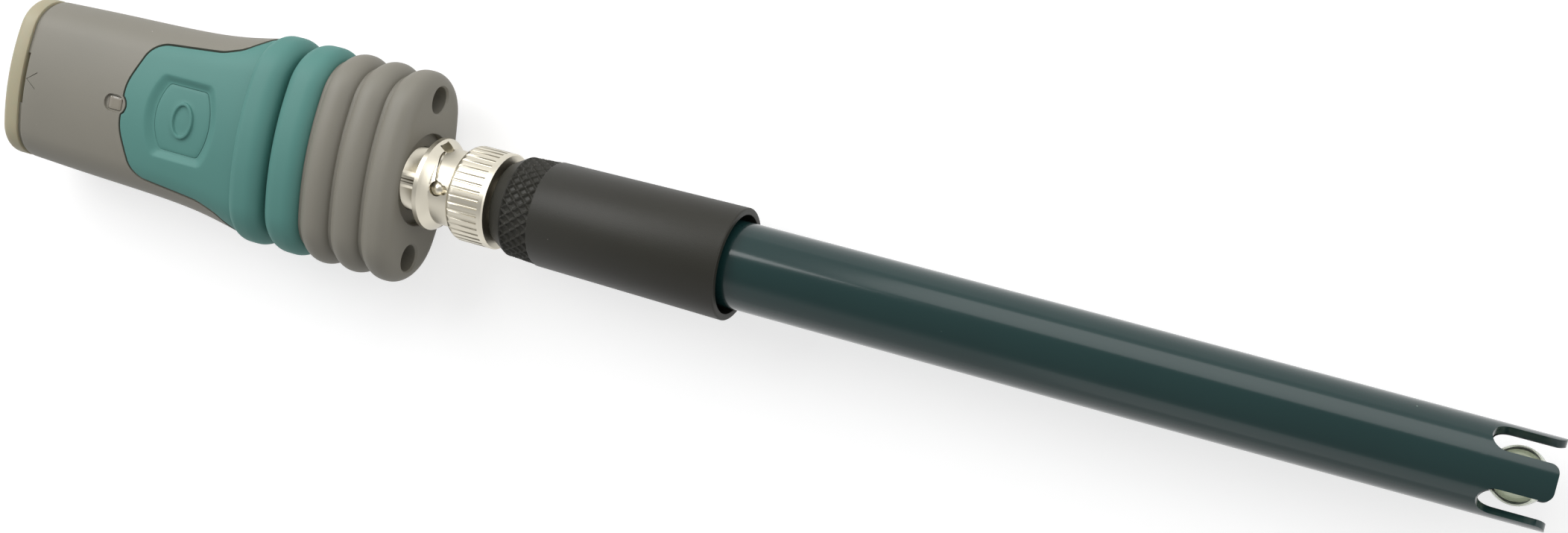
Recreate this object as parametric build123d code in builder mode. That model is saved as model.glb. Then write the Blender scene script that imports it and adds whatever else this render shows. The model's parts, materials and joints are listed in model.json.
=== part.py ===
from build123d import *
import os
from math import cos, radians, sin

os.makedirs("parts", exist_ok=True)

# A pH electrode on its amplifier handle, joined by a bayonet connector.
# Lengths are in millimetres. Stations are measured from the prong tips back along the electrode axis.
# The handle lies on its ribs with the power button up, +X points at the prong tips.

# Electrode tube
tip_diameter = 12.0
shaft_diameter = 12.5
draft_length = 60.0
tube_wall = 1.1
seat_diameter = 11.8
visible_tube = 112.1
tube_in_cap = 20.0
slot_length = 8.7
slot_width = 4.4
prong_corner = 1.2
prong_twist = 7.0
prong_count = 4

# Glass membrane, wires and seals inside the tube
bulb_diameter = 7.7
bulb_recess = 0.8
stem_diameter = 5.0
glass_wall = 0.5
tip_seal_length = 3.5
tip_seal_setback = 1.4
junction_diameter = 1.3
wire_diameter = 0.8
reference_wire_setback = 30.0
top_plug_length = 5.0

# Knurled cap on the tube
cap_length = 36.9
cap_open_diameter = 16.4
cap_band_diameter = 15.6
cap_band_front_diameter = 15.0
cap_nose_diameter = 12.1
cap_band_width = 4.7
cap_bevel_length = 2.4
cap_wall = 1.0
cap_mouth_depth = 7.0

# Bayonet plug and its coupling ring
coupling_gap = 0.5
coupling_length = 11.9
rim_diameter = 13.9
rim_width = 0.7
flare_width = 1.4
flare_curve = (0.75, 0.28)
neck_diameter = 11.5
neck_length = 3.2
shoulder_length = 1.5
shoulder_curve = (0.25, 0.7)
grip_diameter = 14.4
grip_groove_diameter = 0.5
grip_groove_count = 40
grip_band_width = 0.9
coupling_lip = 0.8
edge_break = 0.2
spring_space = 0.7
spring_thickness = 0.25
flange_thickness = 1.0
flange_diameter = 11.8
shank_diameter = 9.1
shank_wall = 1.7
plug_tube_diameter = 8.1
plug_tube_wall = 0.55
plug_tail = 9.0
pin_diameter = 1.37
pin_past_lugs = 0.5
insulator_wall = 1.25
insulator_inset = 1.0
insulator_setback = 0.8
gasket_thickness = 0.9
gasket_overlap = 0.4
cavity_lead = 0.4

# Bayonet jack on the handle
jack_diameter = 9.6
jack_wall = 0.7
jack_lug_diameter = 1.9
jack_lug_span = 10.8
jack_lug_setback = 5.2
bayonet_turn = 72.0
bayonet_lead = 1.7
slot_clearance = 0.35
slit_width = 0.45
rim_bridge = 0.35
overtravel_hole = 1.4
overtravel = 1.1
jack_flange_diameter = 12.8
jack_flange_thickness = 1.7
jack_tail = 5.8
jack_tail_diameter = 9.6
socket_diameter = 2.2
socket_past_lugs = 3.0
contact_recess = 0.6
solder_tail_diameter = 1.0
solder_cup_length = 2.0
solder_overlap = 3.0

# Nose of the handle: three grey ribs, one teal rib and a flat face
face_gap = 1.6
rib_half_width = 16.1
rib_half_depth = 9.0
rib_groove_depth = 1.2
rib_round = 2.2
front_rib = 6.1
rib_pitch = 5.3
teal_rib = 6.3
rear_teal_rib = 5.6
parting_gap = 0.4
parting_step = 0.6
face_recess_diameter = 14.0
face_recess_depth = 2.2
face_wall = 3.5
nose_hollow_width = 16.4
nose_hollow_depth = 11.0
nose_hollow_corner = 2.0
spigot_wall = 1.0
spigot_length = 2.4
screw_spacing = 24.1
screw_hole_diameter = 4.1
screw_hole_depth = 15.0
screw_head_diameter = 3.8
screw_head_height = 1.8
screw_key_radius = 0.76
screw_diameter = 2.1
screw_length = 15.0
boss_wall = 0.4
boss_floor = 1.0

# Rear body of the handle
body_length = 46.9
mouth_half_width = 15.3
mouth_half_depth = 8.3
waist_setback = 16.0
waist_half_width = 13.35
waist_half_depth = 7.65
shoulder_blend = 0.42
shoulder_fullness = 1.45
tail_blend = 0.46
rear_half_width = 12.5
rear_half_depth = 6.5
oval_end_ratio = 0.88
body_wall = 2.0
front_wall = 2.0
lip_length = 0.6
lip_step = 0.5
pry_slot_width = 8.0
pry_slot_depth = 1.0
end_cap_thickness = 2.6
end_cap_round = 1.3
body_edge_round = 0.6
skirt_length = 5.5
skirt_wall = 1.0
skirt_clearance = 0.3

# Teal grip, power button and indicator window
grip_thickness = 1.2
grip_groove = 0.25
grip_reach = 21.2
grip_half_width = 10.8
grip_flare_half_width = 11.4
grip_flare_length = 6.5
grip_flare_round = 18.0
grip_mouth_half_width = 14.7
grip_corner = 7.0
dish_setback = 10.1
grip_lap = 3.0
grip_rib_round = 1.4
dish_length = 13.4
dish_width = 13.6
dish_corner = 4.2
dish_depth = 0.9
dish_slope = 1.3
dish_margin = 0.5
pad_thickness = 1.4
pad_flange = 0.8
pad_gap = 0.2
button_travel = 0.4
power_ring_length = 4.4
power_ring_width = 5.6
power_ring_line = 0.5
power_ring_height = 0.35
button_stem_diameter = 3.0
window_length = 3.6
window_width = 2.4
window_depth = 0.35
window_lead = 1.0
window_shift = 0.5
lens_length = 2.0
lens_width = 1.9
lens_flange = 0.5
lens_flange_thickness = 0.6
lens_lift = 0.1

# Circuit board, its parts and the battery
board_thickness = 1.0
board_top = -0.6
board_front_setback = 5.5
board_rear_setback = 2.0
board_width = 19.0
board_neck_width = 15.5
board_neck_end = 8.5
board_tongue_width = 12.0
board_tongue_start = 8.0
board_post_diameter = 2.6
board_post_spacing = 16.0
front_post_setback = 11.5
rear_post_setback = 10.5
board_screw_diameter = 1.2
board_screw_length = 3.5
board_screw_head = 2.2
board_screw_head_height = 0.8
switch_width = 4.5
switch_height = 3.0
plunger_diameter = 2.0
plunger_above = 0.6
plunger_inside = 1.0
led_length = 1.6
led_width = 0.8
led_height = 0.7
led_gap = 0.4
battery_width = 11.0
battery_height = 2.4
battery_setback = 12.0
battery_rear_setback = 9.9
battery_corner = 0.8
tape_thickness = 0.5
tape_inset = 1.0
usb_length = 6.0
usb_width = 7.5
usb_height = 2.6
usb_shell = 0.3
usb_setback = 0.8
usb_floor = 1.0
usb_tongue_setback = 0.5
shield_length = 7.0
shield_width = 10.0
shield_height = 1.5
shield_sheet = 0.25
shield_setback = 1.0

# Clearances
sliding_clearance = 0.05
running_clearance = 0.075
seat_clearance = 0.1

# Stations worked out from the lengths above
cap_front = visible_tube + cap_length
coupling_rear = cap_front + coupling_gap
coupling_front = coupling_rear + coupling_length
nose_face = coupling_front + face_gap
nose_colour_line = nose_face + front_rib + 2 * rib_pitch
nose_rear = nose_colour_line + teal_rib
body_front = nose_rear + parting_gap
grip_rear = body_front + rear_teal_rib
body_rear = body_front + body_length
lip_rear = body_rear + lip_length
overall_length = lip_rear + end_cap_thickness
axis_height = rib_half_depth

plug_flange_rear = coupling_rear + coupling_lip + spring_space
plug_flange_front = plug_flange_rear + flange_thickness
jack_front = plug_flange_front + gasket_thickness + seat_clearance
lug_station = jack_front + jack_lug_setback
slot_station = lug_station + bayonet_lead
recess_floor = nose_face + face_recess_depth
jack_flange_front = nose_face + face_wall
jack_flange_rear = jack_flange_front + jack_flange_thickness
jack_rear = jack_flange_rear + jack_tail
button_station = grip_rear + dish_setback
window_station = grip_rear + grip_reach + window_lead
board_front = body_front - board_front_setback
board_rear = body_rear - board_rear_setback
board_bottom = board_top - board_thickness
front_post_station = body_front + front_post_setback
rear_post_station = body_rear - rear_post_setback

shaft_radius = shaft_diameter / 2
tube_bore = tip_diameter / 2 - tube_wall
tube_end = visible_tube + tube_in_cap
bulb_radius = bulb_diameter / 2
bulb_station = bulb_recess + bulb_radius
stem_radius = stem_diameter / 2
stem_end = tube_end - top_plug_length / 2
barrel_radius = jack_diameter / 2
barrel_bore = barrel_radius - jack_wall
lug_reach = jack_lug_span / 2
rim_radius = rim_diameter / 2
neck_radius = neck_diameter / 2
grip_radius = grip_diameter / 2
coupling_bore = barrel_radius + running_clearance
plug_tube_radius = plug_tube_diameter / 2
plug_tube_bore = plug_tube_radius - plug_tube_wall
shank_radius = shank_diameter / 2
shank_bore = shank_radius - shank_wall
pin_radius = pin_diameter / 2
socket_radius = socket_diameter / 2
groove_half_width = rib_half_width - rib_groove_depth
groove_half_depth = rib_half_depth - rib_groove_depth
screw_offset = screw_spacing / 2
pad_length = dish_length - 2 * dish_slope
pad_width = dish_width - 2 * dish_slope
pad_corner = dish_corner - dish_slope
switch_top = board_top + switch_height
plunger_top = switch_top + plunger_above


def x_at(station):
    """Place along the model's X of a station on the electrode axis."""
    return overall_length / 2 - station


def cross_plane(station):
    """Plane square to the electrode axis, with its own x across and its own y up."""
    return Plane(origin=(x_at(station), 0, axis_height), x_dir=(0, 1, 0), z_dir=(1, 0, 0))


def level_plane(height):
    """Level plane at a height above the electrode axis."""
    return Plane.XY.offset(axis_height + height)


def side_plane(angle):
    """Plane through the electrode axis whose normal leans from straight up towards +Y by the angle."""
    normal = (0, sin(radians(angle)), cos(radians(angle)))
    return Plane(origin=(0, 0, axis_height), x_dir=(1, 0, 0), z_dir=normal)


def radial_plane(station, angle):
    """Plane on the electrode axis that faces outwards at the angle from straight up towards +Y."""
    normal = (0, sin(radians(angle)), cos(radians(angle)))
    return Plane(origin=(x_at(station), 0, axis_height), x_dir=(1, 0, 0), z_dir=normal)


lengthwise = side_plane(0)
electrode_axis = Axis((0, 0, axis_height), (1, 0, 0))


def turned(profile, mode=Mode.ADD):
    """Revolve a closed outline of (station, radius) corners about the electrode axis."""
    with BuildSketch(lengthwise) as half_section:
        with BuildLine():
            Polyline(*[(x_at(station), radius) for station, radius in profile], close=True)
        make_face()
    revolve(half_section.sketch, axis=electrode_axis, mode=mode)


def oval(half_width, half_depth):
    """Draw the handle's section, a flattened oval of four tangent arcs."""
    end_radius = oval_end_ratio * half_depth
    reach = half_width - end_radius
    crown = (reach ** 2 + half_depth ** 2 - end_radius ** 2) / (2 * (half_depth - end_radius))
    joint_y = reach + end_radius * reach / (crown - end_radius)
    joint_z = end_radius * (crown - half_depth) / (crown - end_radius)
    with BuildLine() as outline:
        ThreePointArc((-joint_y, joint_z), (0, half_depth), (joint_y, joint_z))
        ThreePointArc((joint_y, joint_z), (half_width, 0), (joint_y, -joint_z))
        ThreePointArc((joint_y, -joint_z), (0, -half_depth), (-joint_y, -joint_z))
        ThreePointArc((-joint_y, -joint_z), (-half_width, 0), (-joint_y, joint_z))
    make_face(outline.edges())


def oval_block(front, rear, half_width, half_depth, mode=Mode.ADD):
    """Straight oval block between two stations."""
    with BuildSketch(cross_plane(rear)) as section:
        oval(half_width, half_depth)
    extrude(section.sketch, amount=rear - front, mode=mode)


def rib(front, rear, front_round, rear_round):
    """Rounded rib that runs right round the handle."""
    with BuildPart() as form:
        oval_block(front, rear, rib_half_width, rib_half_depth)
        fillet(form.faces().sort_by(Axis.X)[-1].edges(), radius=front_round)
        fillet(form.faces().sort_by(Axis.X)[0].edges(), radius=rear_round)
    return form.part


def body_sections(inset):
    """Station, half width and half depth of the rear body's sections, each brought in by the inset."""
    shoulder_width_blend = shoulder_blend * shoulder_fullness
    shoulder_width = mouth_half_width + shoulder_width_blend * (waist_half_width - mouth_half_width)
    shoulder_depth = mouth_half_depth + shoulder_blend * (waist_half_depth - mouth_half_depth)
    waist = grip_rear + waist_setback
    tail = waist + (body_rear - waist) / 2
    tail_width = waist_half_width + tail_blend * (rear_half_width - waist_half_width)
    tail_depth = waist_half_depth + tail_blend * (rear_half_depth - waist_half_depth)
    return [
        (grip_rear, mouth_half_width - inset, mouth_half_depth - inset),
        (grip_rear + shoulder_blend * waist_setback, shoulder_width - inset, shoulder_depth - inset),
        (waist, waist_half_width - inset, waist_half_depth - inset),
        (tail, tail_width - inset, tail_depth - inset),
        (body_rear, rear_half_width - inset, rear_half_depth - inset),
    ]


def body_solid(inset, front):
    """Rear body brought in by the inset: the barrel under the teal rib and the tapered grip behind it."""
    with BuildPart() as form:
        oval_block(front, grip_rear, groove_half_width - inset, groove_half_depth - inset)
        for station, half_width, half_depth in body_sections(inset):
            with BuildSketch(cross_plane(station)):
                oval(half_width, half_depth)
        loft()
    return form.part


def grip_outline(margin):
    """Prism over the teal panel's outline, grown by the margin."""
    lead = grip_rear + grip_reach
    flare = grip_rear + grip_flare_length
    with BuildPart() as prism:
        with BuildSketch(level_plane(0)) as outline:
            with BuildLine():
                Polyline(
                    (x_at(lead), grip_half_width),
                    (x_at(flare), grip_flare_half_width),
                    (x_at(grip_rear), grip_mouth_half_width),
                    (x_at(grip_rear - grip_lap), grip_mouth_half_width),
                    (x_at(grip_rear - grip_lap), -grip_mouth_half_width),
                    (x_at(grip_rear), -grip_mouth_half_width),
                    (x_at(flare), -grip_flare_half_width),
                    (x_at(lead), -grip_half_width),
                    close=True,
                )
            make_face()
            lead_corners = outline.vertices().group_by(Axis.X)[0]
            fillet(lead_corners, radius=grip_corner)
            flare_corners = outline.vertices().filter_by(lambda v: abs(v.X - x_at(flare)) < 0.01)
            fillet(flare_corners, radius=grip_flare_round)
            with Locations((x_at(window_station), 0)):
                Circle(window_length / 2, mode=Mode.SUBTRACT)
            if margin:
                offset(amount=margin)
        extrude(amount=rib_half_depth)
    return prism.part


# Electrode

with BuildPart() as electrode_body:
    turned([
        (0, tube_bore),
        (0, tip_diameter / 2),
        (draft_length, shaft_radius),
        (visible_tube + cap_mouth_depth, shaft_radius),
        (visible_tube + cap_mouth_depth, seat_diameter / 2),
        (tube_end, seat_diameter / 2),
        (tube_end, tube_bore),
    ])
    # Two crossing slots part the end into four prongs with rounded corners
    corner_offset = slot_width / 2 + prong_corner
    for slot in range(prong_count // 2):
        with BuildSketch(side_plane(prong_twist + (slot + 0.5) * 360 / prong_count)):
            with Locations((x_at(prong_corner), 0)):
                Rectangle(2 * prong_corner, 2 * corner_offset, align=(Align.MIN, Align.CENTER))
            with Locations((x_at(prong_corner), corner_offset), (x_at(prong_corner), -corner_offset)):
                Circle(prong_corner, mode=Mode.SUBTRACT)
            with Locations((x_at(slot_length - slot_width / 2), 0)):
                Circle(slot_width / 2)
                Rectangle(slot_length, slot_width, align=(Align.MIN, Align.CENTER))
        extrude(amount=tip_diameter, both=True, mode=Mode.SUBTRACT)
electrode_body.part.label = "electrode_body"
export_step(electrode_body.part, "parts/electrode_body.step")

with BuildPart() as glass_membrane:
    neck_drop = (bulb_radius ** 2 - stem_radius ** 2) ** 0.5
    inner_bulb = bulb_radius - glass_wall
    inner_stem = stem_radius - glass_wall
    inner_drop = (inner_bulb ** 2 - inner_stem ** 2) ** 0.5
    bulb_x = x_at(bulb_station)
    for radius, stem, drop, mode in (
        (bulb_radius, stem_radius, neck_drop, Mode.ADD),
        (inner_bulb, inner_stem, inner_drop, Mode.SUBTRACT),
    ):
        with BuildSketch(lengthwise):
            with BuildLine():
                ThreePointArc((bulb_x + radius, 0), (bulb_x, radius), (bulb_x - drop, stem))
                Polyline(
                    (bulb_x - drop, stem), (x_at(stem_end), stem), (x_at(stem_end), 0),
                    (bulb_x + radius, 0))
            make_face()
        revolve(axis=electrode_axis, mode=mode)
glass_membrane.part.label = "glass_membrane"
export_step(glass_membrane.part, "parts/glass_membrane.step")

tip_seal_front = slot_length + tip_seal_setback
junction_offset = (tube_bore + stem_radius) / 2
with BuildPart() as tip_seal:
    turned([
        (tip_seal_front, stem_radius + sliding_clearance),
        (tip_seal_front, tube_bore - sliding_clearance),
        (tip_seal_front + tip_seal_length, tube_bore - sliding_clearance),
        (tip_seal_front + tip_seal_length, stem_radius + sliding_clearance),
    ])
    with BuildSketch(cross_plane(tip_seal_front)):
        with Locations((0, junction_offset)):
            Circle(junction_diameter / 2 + sliding_clearance)
    extrude(amount=-tip_seal_length, mode=Mode.SUBTRACT)
tip_seal.part.label = "tip_seal"
export_step(tip_seal.part, "parts/tip_seal.step")

with BuildPart() as reference_junction:
    with BuildSketch(cross_plane(tip_seal_front)):
        with Locations((0, junction_offset)):
            Circle(junction_diameter / 2)
    extrude(amount=-tip_seal_length)
reference_junction.part.label = "reference_junction"
export_step(reference_junction.part, "parts/reference_junction.step")

with BuildPart() as top_plug:
    turned([
        (tube_end - top_plug_length, stem_radius + sliding_clearance),
        (tube_end - top_plug_length, tube_bore - sliding_clearance),
        (tube_end, tube_bore - sliding_clearance),
        (tube_end, wire_diameter),
        (stem_end, wire_diameter),
        (stem_end, stem_radius + sliding_clearance),
    ])
    with BuildSketch(cross_plane(tube_end)):
        with Locations((0, junction_offset)):
            Circle(wire_diameter / 2 + sliding_clearance)
    extrude(amount=top_plug_length, mode=Mode.SUBTRACT)
top_plug.part.label = "top_plug"
export_step(top_plug.part, "parts/top_plug.step")

with BuildPart() as measuring_wire:
    wire_end = plug_flange_rear - plug_tail
    with BuildSketch(cross_plane(wire_end)):
        Circle(wire_diameter / 2)
    extrude(amount=wire_end - bulb_station)
measuring_wire.part.label = "measuring_wire"
export_step(measuring_wire.part, "parts/measuring_wire.step")

with BuildPart() as reference_wire:
    reference_end = plug_flange_rear - plug_tail
    with BuildSketch(cross_plane(reference_end)):
        with Locations((0, junction_offset)):
            Circle(wire_diameter / 2)
    extrude(amount=reference_end - reference_wire_setback)
reference_wire.part.label = "reference_wire"
export_step(reference_wire.part, "parts/reference_wire.step")

with BuildPart() as electrode_cap:
    band_rear = cap_front - cap_bevel_length - cap_band_width
    mouth_bore = cap_open_diameter / 2 - cap_wall
    seat_bore = seat_diameter / 2 + sliding_clearance
    turned([
        (visible_tube, mouth_bore),
        (visible_tube, cap_open_diameter / 2),
        (band_rear, cap_band_diameter / 2),
        (cap_front - cap_bevel_length, cap_band_front_diameter / 2),
        (cap_front, cap_nose_diameter / 2),
        (cap_front, shank_radius + sliding_clearance),
        (cap_front - plug_tail, shank_radius + sliding_clearance),
        (cap_front - plug_tail, tube_bore),
        (tube_end, tube_bore),
        (tube_end, seat_bore),
        (visible_tube + cap_mouth_depth + seat_clearance, seat_bore),
        (visible_tube + cap_mouth_depth + seat_clearance, mouth_bore),
    ])
    mouth_edges = electrode_cap.edges().filter_by(GeomType.CIRCLE).group_by(Axis.X)[-1]
    fillet(mouth_edges.sort_by(SortBy.RADIUS)[-1], radius=cap_wall / 4)
electrode_cap.part.label = "electrode_cap"
export_step(electrode_cap.part, "parts/electrode_cap.step")

# Bayonet plug

with BuildPart() as plug_body:
    turned([
        (plug_flange_rear - plug_tail, shank_bore),
        (plug_flange_rear - plug_tail, shank_radius),
        (plug_flange_rear, shank_radius),
        (plug_flange_rear, flange_diameter / 2),
        (plug_flange_front, flange_diameter / 2),
        (plug_flange_front, plug_tube_radius),
        (coupling_front, plug_tube_radius),
        (coupling_front, plug_tube_bore),
        (plug_flange_rear, plug_tube_bore),
        (plug_flange_rear, shank_bore),
    ])
plug_body.part.label = "plug_body"
export_step(plug_body.part, "parts/plug_body.step")

insulator_reach = socket_radius + insulator_wall
insulator_front = coupling_front - insulator_setback
insulator_rear = plug_flange_rear - plug_tail + insulator_inset
with BuildPart() as plug_insulator:
    turned([
        (insulator_rear, pin_radius + sliding_clearance),
        (insulator_rear, shank_bore - sliding_clearance),
        (plug_flange_rear, shank_bore - sliding_clearance),
        (plug_flange_rear, plug_tube_bore - sliding_clearance),
        (insulator_front, plug_tube_bore - sliding_clearance),
        (insulator_front, insulator_reach + running_clearance),
        (jack_front - seat_clearance, insulator_reach + running_clearance),
        (jack_front - seat_clearance, pin_radius + sliding_clearance),
    ])
plug_insulator.part.label = "plug_insulator"
export_step(plug_insulator.part, "parts/plug_insulator.step")

with BuildPart() as plug_pin:
    pin_tip = lug_station + pin_past_lugs
    turned([
        (plug_flange_rear - plug_tail, 0),
        (plug_flange_rear - plug_tail, pin_radius),
        (pin_tip - pin_radius / 2, pin_radius),
        (pin_tip, pin_radius / 2),
        (pin_tip, 0),
    ])
plug_pin.part.label = "plug_pin"
export_step(plug_pin.part, "parts/plug_pin.step")

with BuildPart() as plug_gasket:
    gasket_radius = barrel_radius + gasket_overlap
    turned([
        (plug_flange_front, plug_tube_radius + sliding_clearance),
        (plug_flange_front, gasket_radius),
        (plug_flange_front + gasket_thickness, gasket_radius),
        (plug_flange_front + gasket_thickness, plug_tube_radius + sliding_clearance),
    ])
plug_gasket.part.label = "plug_gasket"
export_step(plug_gasket.part, "parts/plug_gasket.step")

with BuildPart() as spring_washer:
    washer_middle = coupling_rear + coupling_lip + spring_space / 2
    sag = (spring_space - spring_thickness) / 2 - seat_clearance
    washer_x = x_at(washer_middle)
    with BuildSketch(Plane(origin=(0, 0, axis_height), x_dir=(1, 0, 0), z_dir=(0, -1, 0))):
        with BuildLine():
            ThreePointArc(
                (washer_x - sag + spring_thickness / 2, -flange_diameter / 2),
                (washer_x + sag + spring_thickness / 2, 0),
                (washer_x - sag + spring_thickness / 2, flange_diameter / 2))
            ThreePointArc(
                (washer_x - sag - spring_thickness / 2, -flange_diameter / 2),
                (washer_x + sag - spring_thickness / 2, 0),
                (washer_x - sag - spring_thickness / 2, flange_diameter / 2))
            Line((washer_x - sag + spring_thickness / 2, -flange_diameter / 2),
                 (washer_x - sag - spring_thickness / 2, -flange_diameter / 2))
            Line((washer_x - sag + spring_thickness / 2, flange_diameter / 2),
                 (washer_x - sag - spring_thickness / 2, flange_diameter / 2))
        make_face()
    extrude(amount=flange_diameter, both=True)
    with BuildSketch(cross_plane(washer_middle)):
        Circle(flange_diameter / 2 - seat_clearance)
        Circle(shank_radius + seat_clearance, mode=Mode.SUBTRACT)
    extrude(amount=spring_space, both=True, mode=Mode.INTERSECT)
spring_washer.part.label = "spring_washer"
export_step(spring_washer.part, "parts/spring_washer.step")

with BuildPart() as coupling_ring:
    neck_front = coupling_front - rim_width - flare_width
    neck_rear = neck_front - neck_length
    grip_front = neck_rear - shoulder_length
    groove_front = grip_front + shoulder_length / 2
    spring_seat = coupling_rear + coupling_lip
    cavity_front = jack_front + cavity_lead
    cavity_radius = flange_diameter / 2 + 2 * seat_clearance
    lip_bore = shank_radius + running_clearance
    flare_station = coupling_front - rim_width - flare_curve[0] * flare_width
    flare_radius = neck_radius + flare_curve[1] * (rim_radius - neck_radius)
    shoulder_station = neck_rear - shoulder_curve[0] * shoulder_length
    shoulder_radius = neck_radius + shoulder_curve[1] * (grip_radius - neck_radius)
    with BuildSketch(lengthwise):
        with BuildLine():
            Polyline(
                (x_at(neck_front), neck_radius),
                (x_at(neck_rear), neck_radius))
            ThreePointArc(
                (x_at(neck_rear), neck_radius),
                (x_at(shoulder_station), shoulder_radius),
                (x_at(grip_front), grip_radius))
            Polyline(
                (x_at(grip_front), grip_radius),
                (x_at(coupling_rear + edge_break), grip_radius),
                (x_at(coupling_rear), grip_radius - edge_break),
                (x_at(coupling_rear), lip_bore),
                (x_at(spring_seat), lip_bore),
                (x_at(spring_seat), cavity_radius),
                (x_at(cavity_front), cavity_radius),
                (x_at(cavity_front), coupling_bore),
                (x_at(coupling_front), coupling_bore),
                (x_at(coupling_front), rim_radius),
                (x_at(coupling_front - rim_width), rim_radius))
            ThreePointArc(
                (x_at(coupling_front - rim_width), rim_radius),
                (x_at(flare_station), flare_radius),
                (x_at(neck_front), neck_radius))
        make_face()
    revolve(axis=electrode_axis)
    # Straight grip grooves all round
    with BuildSketch(cross_plane(groove_front)):
        with PolarLocations(grip_radius + sliding_clearance, grip_groove_count):
            Circle(grip_groove_diameter / 2)
    extrude(amount=groove_front - coupling_rear - grip_band_width, dir=(1, 0, 0), mode=Mode.SUBTRACT)
    # Entry slots, and the helical channels that draw the ring home as it turns
    channel_width = jack_lug_diameter + slot_clearance
    channel_top = lug_reach + seat_clearance
    helix_radius = (coupling_bore + channel_top) / 2
    helix_pitch = bayonet_lead * 360 / bayonet_turn
    channel_floor = coupling_bore - seat_clearance
    slit_top = neck_radius + 3 * seat_clearance
    slot_reach = rim_radius - rim_bridge
    for side in (0, 180):
        up = (0, sin(radians(side)), cos(radians(side)))
        start = Plane(origin=(x_at(lug_station), 0, axis_height), x_dir=up, z_dir=(-1, 0, 0))
        section_plane = Plane(origin=start.origin, x_dir=up, z_dir=start.y_dir)
        with BuildLine(mode=Mode.PRIVATE) as channel_path:
            Helix(pitch=helix_pitch, height=bayonet_lead, radius=helix_radius)
        for width, floor, top in (
            (channel_width, channel_floor, channel_top),
            (slit_width, helix_radius, slit_top),
        ):
            with BuildSketch(section_plane, mode=Mode.PRIVATE) as channel_section:
                with Locations((floor, 0)):
                    Rectangle(top - floor, width, align=(Align.MIN, Align.CENTER))
            sweep(channel_section.sketch, path=channel_path.line.moved(start.location), is_frenet=True,
                  mode=Mode.SUBTRACT)
        with BuildSketch(radial_plane(slot_station, side + bayonet_turn)):
            Circle(channel_width / 2)
            Rectangle(rim_radius, channel_width, align=(Align.MAX, Align.CENTER))
        extrude(amount=slot_reach, mode=Mode.SUBTRACT)
        with BuildSketch(radial_plane(lug_station, side)):
            Circle(channel_width / 2)
            with Locations((overtravel, 0)):
                Circle(overtravel_hole / 2)
        extrude(amount=slot_reach, mode=Mode.SUBTRACT)
coupling_ring.part.label = "coupling_ring"
export_step(coupling_ring.part, "parts/coupling_ring.step")

# Bayonet jack

with BuildPart() as jack_shell:
    turned([
        (jack_front, barrel_bore),
        (jack_front, barrel_radius - edge_break),
        (jack_front + edge_break, barrel_radius),
        (jack_flange_front, barrel_radius),
        (jack_flange_front, jack_flange_diameter / 2),
        (jack_flange_rear, jack_flange_diameter / 2),
        (jack_flange_rear, jack_tail_diameter / 2),
        (jack_rear, jack_tail_diameter / 2),
        (jack_rear, barrel_bore),
    ])
    for side in (0, 180):
        with BuildSketch(radial_plane(lug_station, side)):
            Circle(jack_lug_diameter / 2)
        extrude(amount=lug_reach)
    with BuildSketch(cross_plane(jack_rear)):
        Circle(barrel_bore)
    extrude(amount=jack_rear - jack_front, mode=Mode.SUBTRACT)
jack_shell.part.label = "jack_shell"
export_step(jack_shell.part, "parts/jack_shell.step")

insulator_step = coupling_front + insulator_setback
with BuildPart() as jack_insulator:
    turned([
        (jack_front + contact_recess, socket_radius + sliding_clearance),
        (jack_front + contact_recess, insulator_reach),
        (insulator_step, insulator_reach),
        (insulator_step, barrel_bore - sliding_clearance),
        (jack_rear, barrel_bore - sliding_clearance),
        (jack_rear, socket_radius + sliding_clearance),
    ])
jack_insulator.part.label = "jack_insulator"
export_step(jack_insulator.part, "parts/jack_insulator.step")

with BuildPart() as jack_contact:
    socket_mouth = jack_front + 2 * contact_recess
    socket_bottom = lug_station + socket_past_lugs
    socket_rear = jack_rear - solder_cup_length
    solder_end = board_front + solder_overlap
    solder_radius = solder_tail_diameter / 2
    turned([
        (socket_mouth, pin_radius + running_clearance),
        (socket_mouth, socket_radius),
        (socket_rear, socket_radius),
        (socket_rear, solder_radius),
        (solder_end, solder_radius),
        (solder_end, 0),
        (socket_bottom, 0),
        (socket_bottom, pin_radius + running_clearance),
    ])
jack_contact.part.label = "jack_contact"
export_step(jack_contact.part, "parts/jack_contact.step")

with BuildPart() as jack_retainer:
    with BuildSketch(cross_plane(jack_flange_rear)):
        RectangleRounded(
            nose_hollow_width - 2 * seat_clearance,
            nose_hollow_depth - 2 * seat_clearance,
            nose_hollow_corner)
        Circle(jack_tail_diameter / 2 + sliding_clearance, mode=Mode.SUBTRACT)
    extrude(amount=-jack_flange_thickness)
jack_retainer.part.label = "jack_retainer"
export_step(jack_retainer.part, "parts/jack_retainer.step")

# Nose of the handle

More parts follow.
